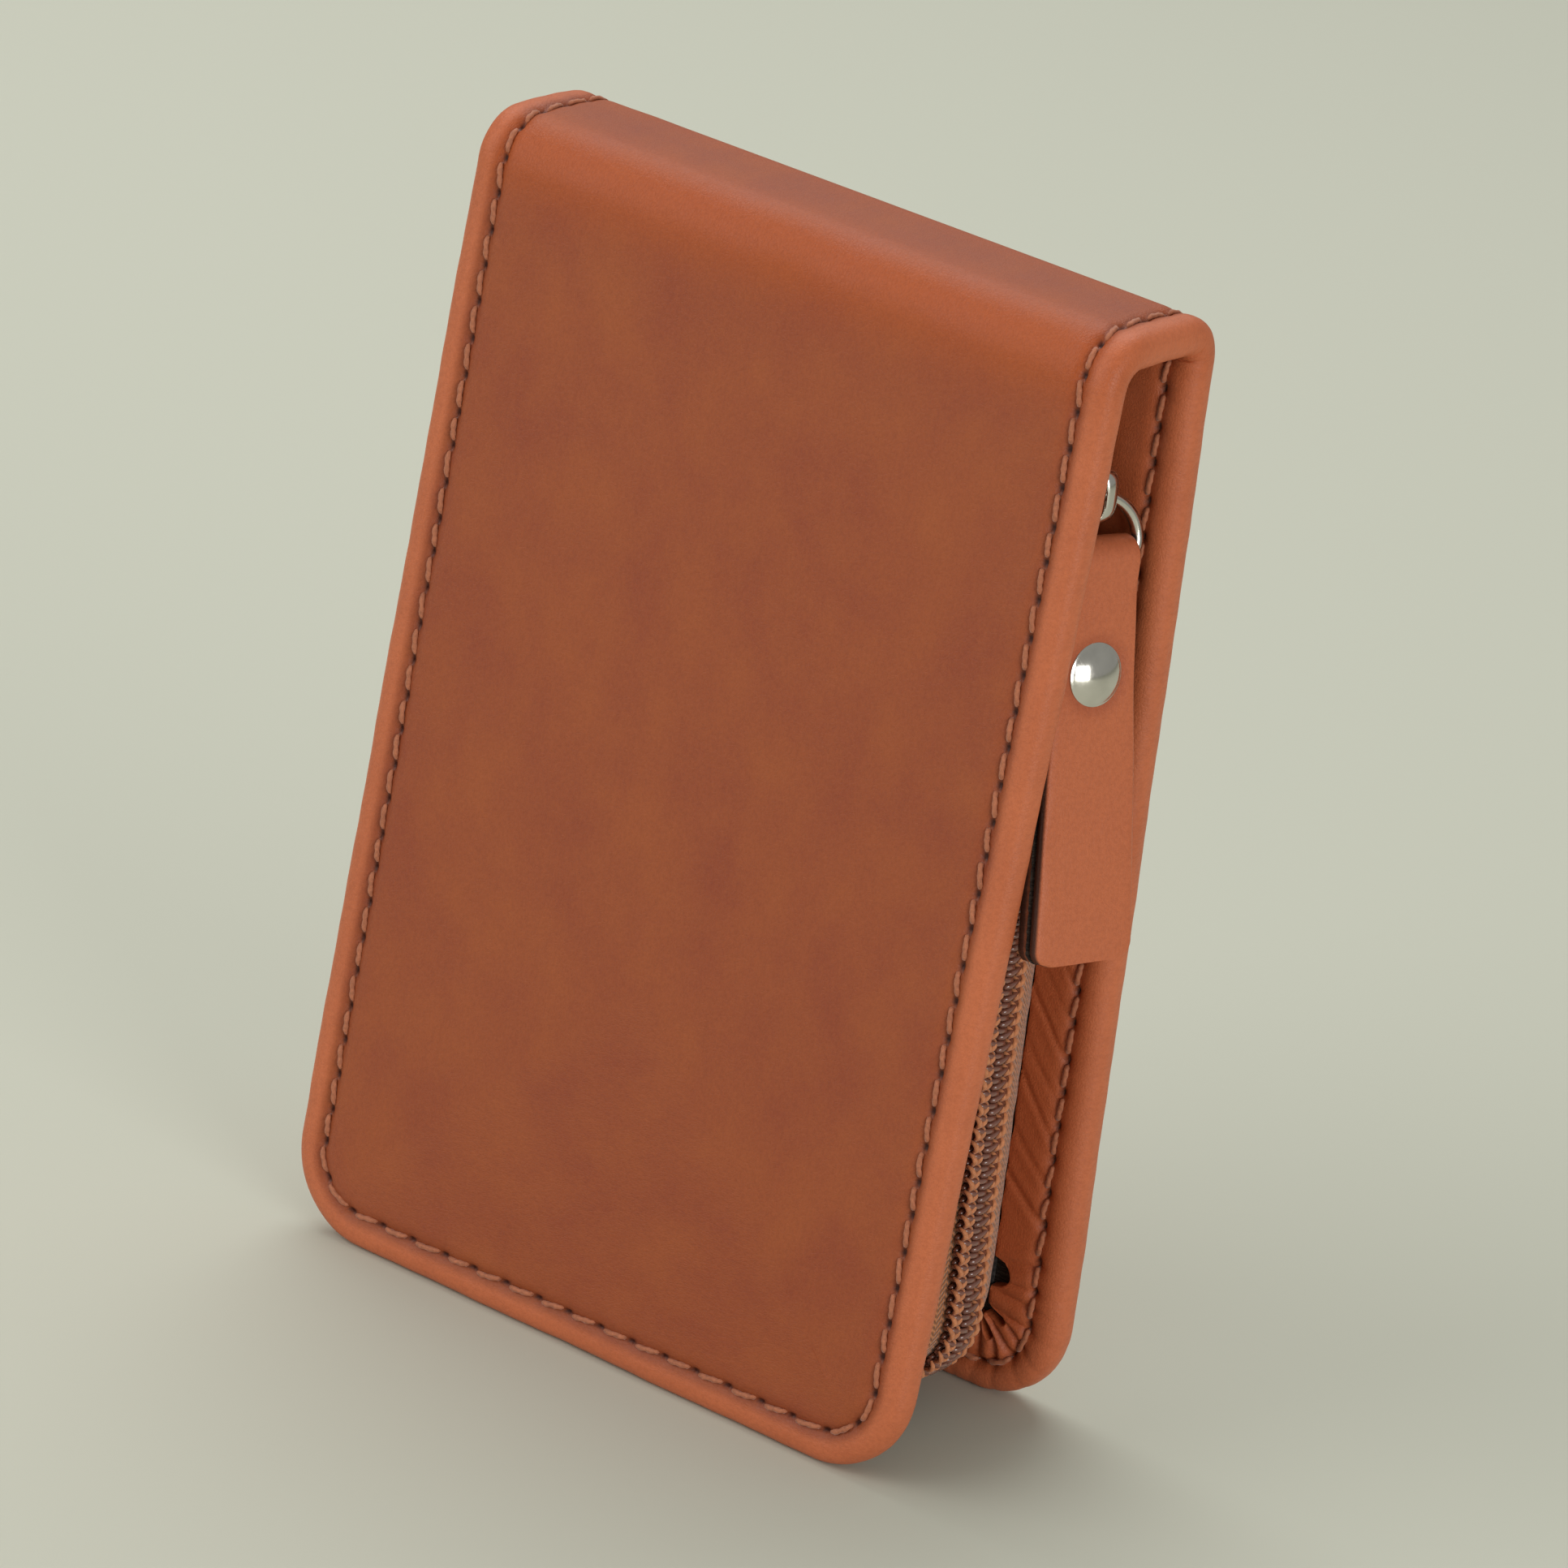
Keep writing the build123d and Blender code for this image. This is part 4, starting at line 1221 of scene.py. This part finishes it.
def woven_tape(name):
    """Woven polyester tape in herringbone: ribs that change slant every few threads, seen as
    small light chevrons with painted shade in the gaps. The ribs are drawn at 0.62 mm, close to the
    real ones."""
    tone = colours().tape
    tape = Finish(name, Roughness=0.8, Specular_IOR_Level=0.25, Sheen_Weight=0.35,
                  Sheen_Roughness=0.45)
    weave = tape.mark("weave")
    along, across, _ = tape.parts(weave)
    zigzag = tape.maths("PINGPONG", across, 0.8 * MM)
    ribs = tape.ribs(tape.plus(along, tape.times(zigzag, 0.8)), 0.62)
    yarns = tape.ribs(across, 0.4)
    height = tape.plus(tape.plus(tape.times(ribs, 0.35), tape.times(yarns, 0.15)), 0.5)
    fuzz = tape.times(tape.noise(weave, 0.3, detail=3.0), 0.35)
    # painted shade: darker where the weave is low, with random fuzz in the tone
    tape.tint(tape.ramp(tape.plus(height, fuzz), 0.35, 1.0), scaled(tone, 0.38), tone)
    tape.bump(height, 0.16, 0.9)
    return tape.material


def nylon(name):
    """Nylon monofilament: smooth, slightly clear, with a bright narrow gleam on each turn."""
    tone = colours().coil
    coil = Finish(name, Roughness=0.22, IOR=1.53, Specular_IOR_Level=0.7, Coat_Weight=0.3,
                  Coat_Roughness=0.12)
    coil.tint(coil.noise(coil.place(), 2.2), scaled(tone, 0.55), tone)
    return coil.material


def plated_nickel(name):
    """Polished nickel plate: bright and neutral, with faint hairline scratches from use."""
    tone = colours().nickel
    plating = Finish(name, Metallic=1.0, Roughness=0.14)
    scratched = plating.mapped(Scale=(1.0, 6.0, 1.0))
    marks = plating.ramp(plating.noise(scratched, 0.5, detail=4.0, roughness=0.7), 0.35, 0.8)
    plating.roughness(marks, 0.12, 0.26)
    dull = plating.ramp(plating.noise(plating.place(), 1.6, detail=3.0), 0.3, 0.8)
    plating.tint(dull, tone, scaled(tone, 0.86))
    return plating.material


def pressed_fibre(name):
    """Black pressed fibre: rough matted black with grey-brown strands that show at a cut."""
    tones = colours()
    board = Finish(name, Roughness=0.92, Specular_IOR_Level=0.2)
    strands = board.mapped(Rotation=(0.4, 0.7, 0.3), Scale=(1.0, 1.0, 4.5))
    shade = board.ramp(board.noise(strands, 0.9, detail=5.0, roughness=0.7), 0.44, 0.70)
    board.tint(shade, tones.fibre, tones.fibre_strand)
    board.bump(shade, 0.12, 0.8)
    return board.material


def brushed_lining(name):
    """Brushed black cotton lining: soft short nap over a plain weave, drawn at 0.7 mm so that it
    shows."""
    tone = colours().cloth
    cloth = Finish(name, Roughness=0.95, Specular_IOR_Level=0.15, Sheen_Weight=0.5,
                   Sheen_Roughness=0.55)
    flat = cloth.mark("flat")
    warp, weft = (cloth.ribs(run, 0.7) for run in cloth.parts(flat)[:2])
    nap = cloth.noise(flat, 0.8, detail=4.0, roughness=0.65)
    height = cloth.plus(cloth.times(cloth.times(warp, weft), 0.3), nap)
    cloth.tint(cloth.ramp(height, 0.25, 1.0), tone, scaled(tone, 2.6))
    cloth.bump(height, 0.1, 0.7)
    return cloth.material


def backdrop_paper(name):
    """Matt backdrop paper: even and pale."""
    tone = colours().floor
    paper = Finish(name, Roughness=0.95, Specular_IOR_Level=0.1)
    paper.tint(paper.noise(paper.place(), 900.0, detail=1.0), scaled(tone, 0.94), tone)
    return paper.material


def material(name, make, *values):
    """A finish made once and then shared."""
    return bpy.data.materials.get(name) or make(name, *values)


def sewing_thread():
    return material("waxed_sewing_thread", waxed_thread, colours().thread)


def nickel():
    return material("polished_nickel_plate", plated_nickel)


def fibre():
    return material("black_pressed_fibre", pressed_fibre)


# --- operators ----------------------------------------------------------------


def coat_node(name, finish_material):
    """Gives a frame node's object a finish."""
    found = frame["nodes"][name]
    objects = found if isinstance(found, (list, tuple)) else [found]
    for item in objects:
        item.data.materials.clear()
        item.data.materials.append(finish_material)


class CASE_OT_hide(bpy.types.Operator):
    """Hide of the wrap, turned over its boards, in two halves that meet on the spine"""

    bl_idname = "case.hide"
    bl_label = "Hide and Boards"

    def execute(self, context):
        hide_material = material("waxed_cowhide", leather)
        front = hide_half("front", hide_material)
        back = hide_half("back", hide_material)
        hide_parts("front_leather", "spine_leather")
        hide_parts("back_leather")
        for piece, side in ((front, "front"), (back, "back")):
            bend(piece)
        for name in ("front_board", "spine_board", "back_board"):
            coat_node(name, fibre())
        return {"FINISHED"}


class CASE_OT_seams(bpy.types.Operator):
    """Stitches of the seam, on both faces of the wrap"""

    bl_idname = "case.seams"
    bl_label = "Seams"

    def execute(self, context):
        front = stitches("front", sewing_thread())
        back = stitches("back", sewing_thread())
        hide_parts("front_thread", "spine_thread")
        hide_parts("back_thread")
        for piece, side in ((front, "front"), (back, "back")):
            bend(piece)
        return {"FINISHED"}


class CASE_OT_lining(bpy.types.Operator):
    """Lining inside the turned-in border"""

    bl_idname = "case.lining"
    bl_label = "Lining"

    def execute(self, context):
        cloth = material("brushed_cotton_lining", brushed_lining)
        front = lining_half("front", cloth)
        back = lining_half("back", cloth)
        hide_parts("front_lining", "spine_lining")
        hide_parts("back_lining")
        for piece, side in ((front, "front"), (back, "back")):
            bend(piece)
        return {"FINISHED"}


class CASE_OT_zip(bpy.types.Operator):
    """Zip tapes, coils and the sewing that holds them together"""

    bl_idname = "case.zip"
    bl_label = "Zip"

    def execute(self, context):
        tape = material("woven_polyester_tape", woven_tape)
        coil = material("nylon_monofilament", nylon)
        loops = material("tape_sewing_thread", waxed_thread, colours().chain_thread)
        for side in SIGN:
            body = f"{side}_cover"
            woven = tape_half(side, tape)
            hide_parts(f"{side}_tape")
            turns = coil_half(side, coil)
            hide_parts(f"{side}_coil")
            sewing = chain_stitch(side, loops)
            for piece in (woven, turns, sewing):
                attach(piece, body)
            coat_node(f"{side}_stops", nickel())
        return {"FINISHED"}


class CASE_OT_slider(bpy.types.Operator):
    """Slider with its arch"""

    bl_idname = "case.slider"
    bl_label = "Slider"

    def execute(self, context):
        plates = slider_piece(nickel())
        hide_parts("slider_body")
        arch = bridge_piece(nickel())
        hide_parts("slider_bridge")
        for piece in (plates, arch):
            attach(piece, "slider")
        return {"FINISHED"}


class CASE_OT_ring(bpy.types.Operator):
    """D-ring of the pull"""

    bl_idname = "case.ring"
    bl_label = "D-Ring"

    def execute(self, context):
        ring = ring_piece(nickel())
        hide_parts("d_ring")
        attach(ring, "ring")
        return {"FINISHED"}


class CASE_OT_tab(bpy.types.Operator):
    """Leather tab with its core and rivet"""

    bl_idname = "case.tab"
    bl_label = "Tab and Rivet"

    def execute(self, context):
        strip = tab_piece(material("waxed_cowhide_strip", leather, False))
        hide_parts("tab_strip")
        core = core_piece(fibre())
        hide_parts("tab_core")
        dome, washer = rivet_pieces(nickel())
        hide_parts("rivet_cap")
        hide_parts("rivet_back")
        for piece in (strip, core, dome, washer):
            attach(piece, "tab")
        return {"FINISHED"}


FLOOR_HALF = 4.0
SKY_COLOUR, SKY_STRENGTH = "#E9EBE6", 0.41
SOFT_BOXES = (  # name, place, width and height, power
    ("overhead", (-0.35, 0.3, 0.9), (0.9, 0.7), 5.6),
    ("key", (-0.55, -0.75, 0.55), (0.9, 0.9), 5.2),
    ("fill", (0.95, -0.4, 0.18), (0.5, 0.6), 5.8),
)
LENS = 195.3  # millimetres, on a sensor 36 wide
AIM_RIGHT, AIM_HEIGHT = 3.46 * MM, 56.55 * MM  # from the case's middle plane, and from the ground
DISTANCE = 792.4 * MM
AZIMUTH, ELEVATION, ROLL = (math.radians(angle) for angle in (33.094, 20.875, 9.554))


def soft_light(name, place, aim, size, power):
    """A rectangular soft box that faces a point."""
    lamp = bpy.data.lights.new(name, "AREA")
    lamp.shape = "RECTANGLE"
    lamp.size, lamp.size_y = size
    lamp.energy = power
    item = bpy.data.objects.new(name, lamp)
    item.location = place
    item.rotation_euler = (Vector(aim) - Vector(place)).to_track_quat("-Z", "Y").to_euler()
    bpy.context.scene.collection.objects.link(item)


class CASE_OT_stage(bpy.types.Operator):
    """Pale floor, soft light and camera"""

    bl_idname = "case.stage"
    bl_label = "Stage"

    def execute(self, context):
        scene = context.scene
        scene.view_settings.view_transform = "Standard"
        corners = [(-1, -1, 0), (1, -1, 0), (1, 1, 0), (-1, 1, 0)]
        mesh = bpy.data.meshes.new("floor")
        mesh.from_pydata(np.array(corners) * FLOOR_HALF, [], [(0, 1, 2, 3)])
        mesh.materials.append(material("matt_backdrop_paper", backdrop_paper))
        floor = bpy.data.objects.new("floor", mesh)
        scene.collection.objects.link(floor)
        world = bpy.data.worlds.new("studio")
        scene.world = world
        world.use_nodes = True
        sky = world.node_tree.nodes["Background"]
        sky.inputs["Color"].default_value = rgba(linear(SKY_COLOUR))
        sky.inputs["Strength"].default_value = SKY_STRENGTH
        aim = (CENTRE_X, 0, HEIGHT / 2)
        for name, place, size, power in SOFT_BOXES:
            soft_light(name, place, aim, size, power)
        self.camera(scene)
        return {"FINISHED"}

    def camera(self, scene):
        """A long lens 79 cm away: 33 degrees round to the right, 21 up, and rolled 9.6."""
        lens = bpy.data.cameras.new("camera")
        lens.lens = LENS
        lens.sensor_width = 36.0
        lens.clip_start = 0.05
        aim = Vector((CENTRE_X + AIM_RIGHT, case().top_shift, AIM_HEIGHT))
        level = math.cos(ELEVATION)
        away = Vector((math.sin(AZIMUTH) * level, -math.cos(AZIMUTH) * level, math.sin(ELEVATION)))
        turn = (-away).to_track_quat("-Z", "Y").to_matrix()
        roll = Matrix.Rotation(ROLL, 3, away)
        item = bpy.data.objects.new("camera", lens)
        item.matrix_world = Matrix.Translation(aim + away * DISTANCE) @ (roll @ turn).to_4x4()
        scene.collection.objects.link(item)
        scene.camera = item


class CASE_PT_panel(bpy.types.Panel):
    """Lists the sizes, colours and pieces"""

    bl_idname = "CASE_PT_panel"
    bl_label = "Leather Case"
    bl_space_type = "VIEW_3D"
    bl_region_type = "UI"
    bl_category = "Leather Case"

    def draw(self, context):
        for operator in OPERATORS:
            self.layout.operator(operator.bl_idname)
        for group in GROUPS:
            box = self.layout.box()
            box.label(text=group)
            settings = getattr(context.scene, group)
            for name in settings.bl_rna.properties.keys():
                if name not in ("rna_type", "name"):
                    box.prop(settings, name)


GROUPS = {"case_sizes": CaseSizes, "zip_sizes": ZipSizes, "pull_sizes": PullSizes,
          "case_colours": CaseColours}
OPERATORS = (CASE_OT_hide, CASE_OT_seams, CASE_OT_lining, CASE_OT_zip, CASE_OT_slider, CASE_OT_ring,
             CASE_OT_tab, CASE_OT_stage)


def register():
    for item in (*GROUPS.values(), *OPERATORS, CASE_PT_panel):
        bpy.utils.register_class(item)
    for name, group in GROUPS.items():
        setattr(bpy.types.Scene, name, PointerProperty(type=group))


def unregister():
    for name in GROUPS:
        delattr(bpy.types.Scene, name)
    for item in (CASE_PT_panel, *reversed(OPERATORS), *reversed(GROUPS.values())):
        bpy.utils.unregister_class(item)


def main():
    register()
    for operator in OPERATORS:
        group, name = operator.bl_idname.split(".")
        getattr(getattr(bpy.ops, group), name)()


if __name__ == "__main__":
    main()
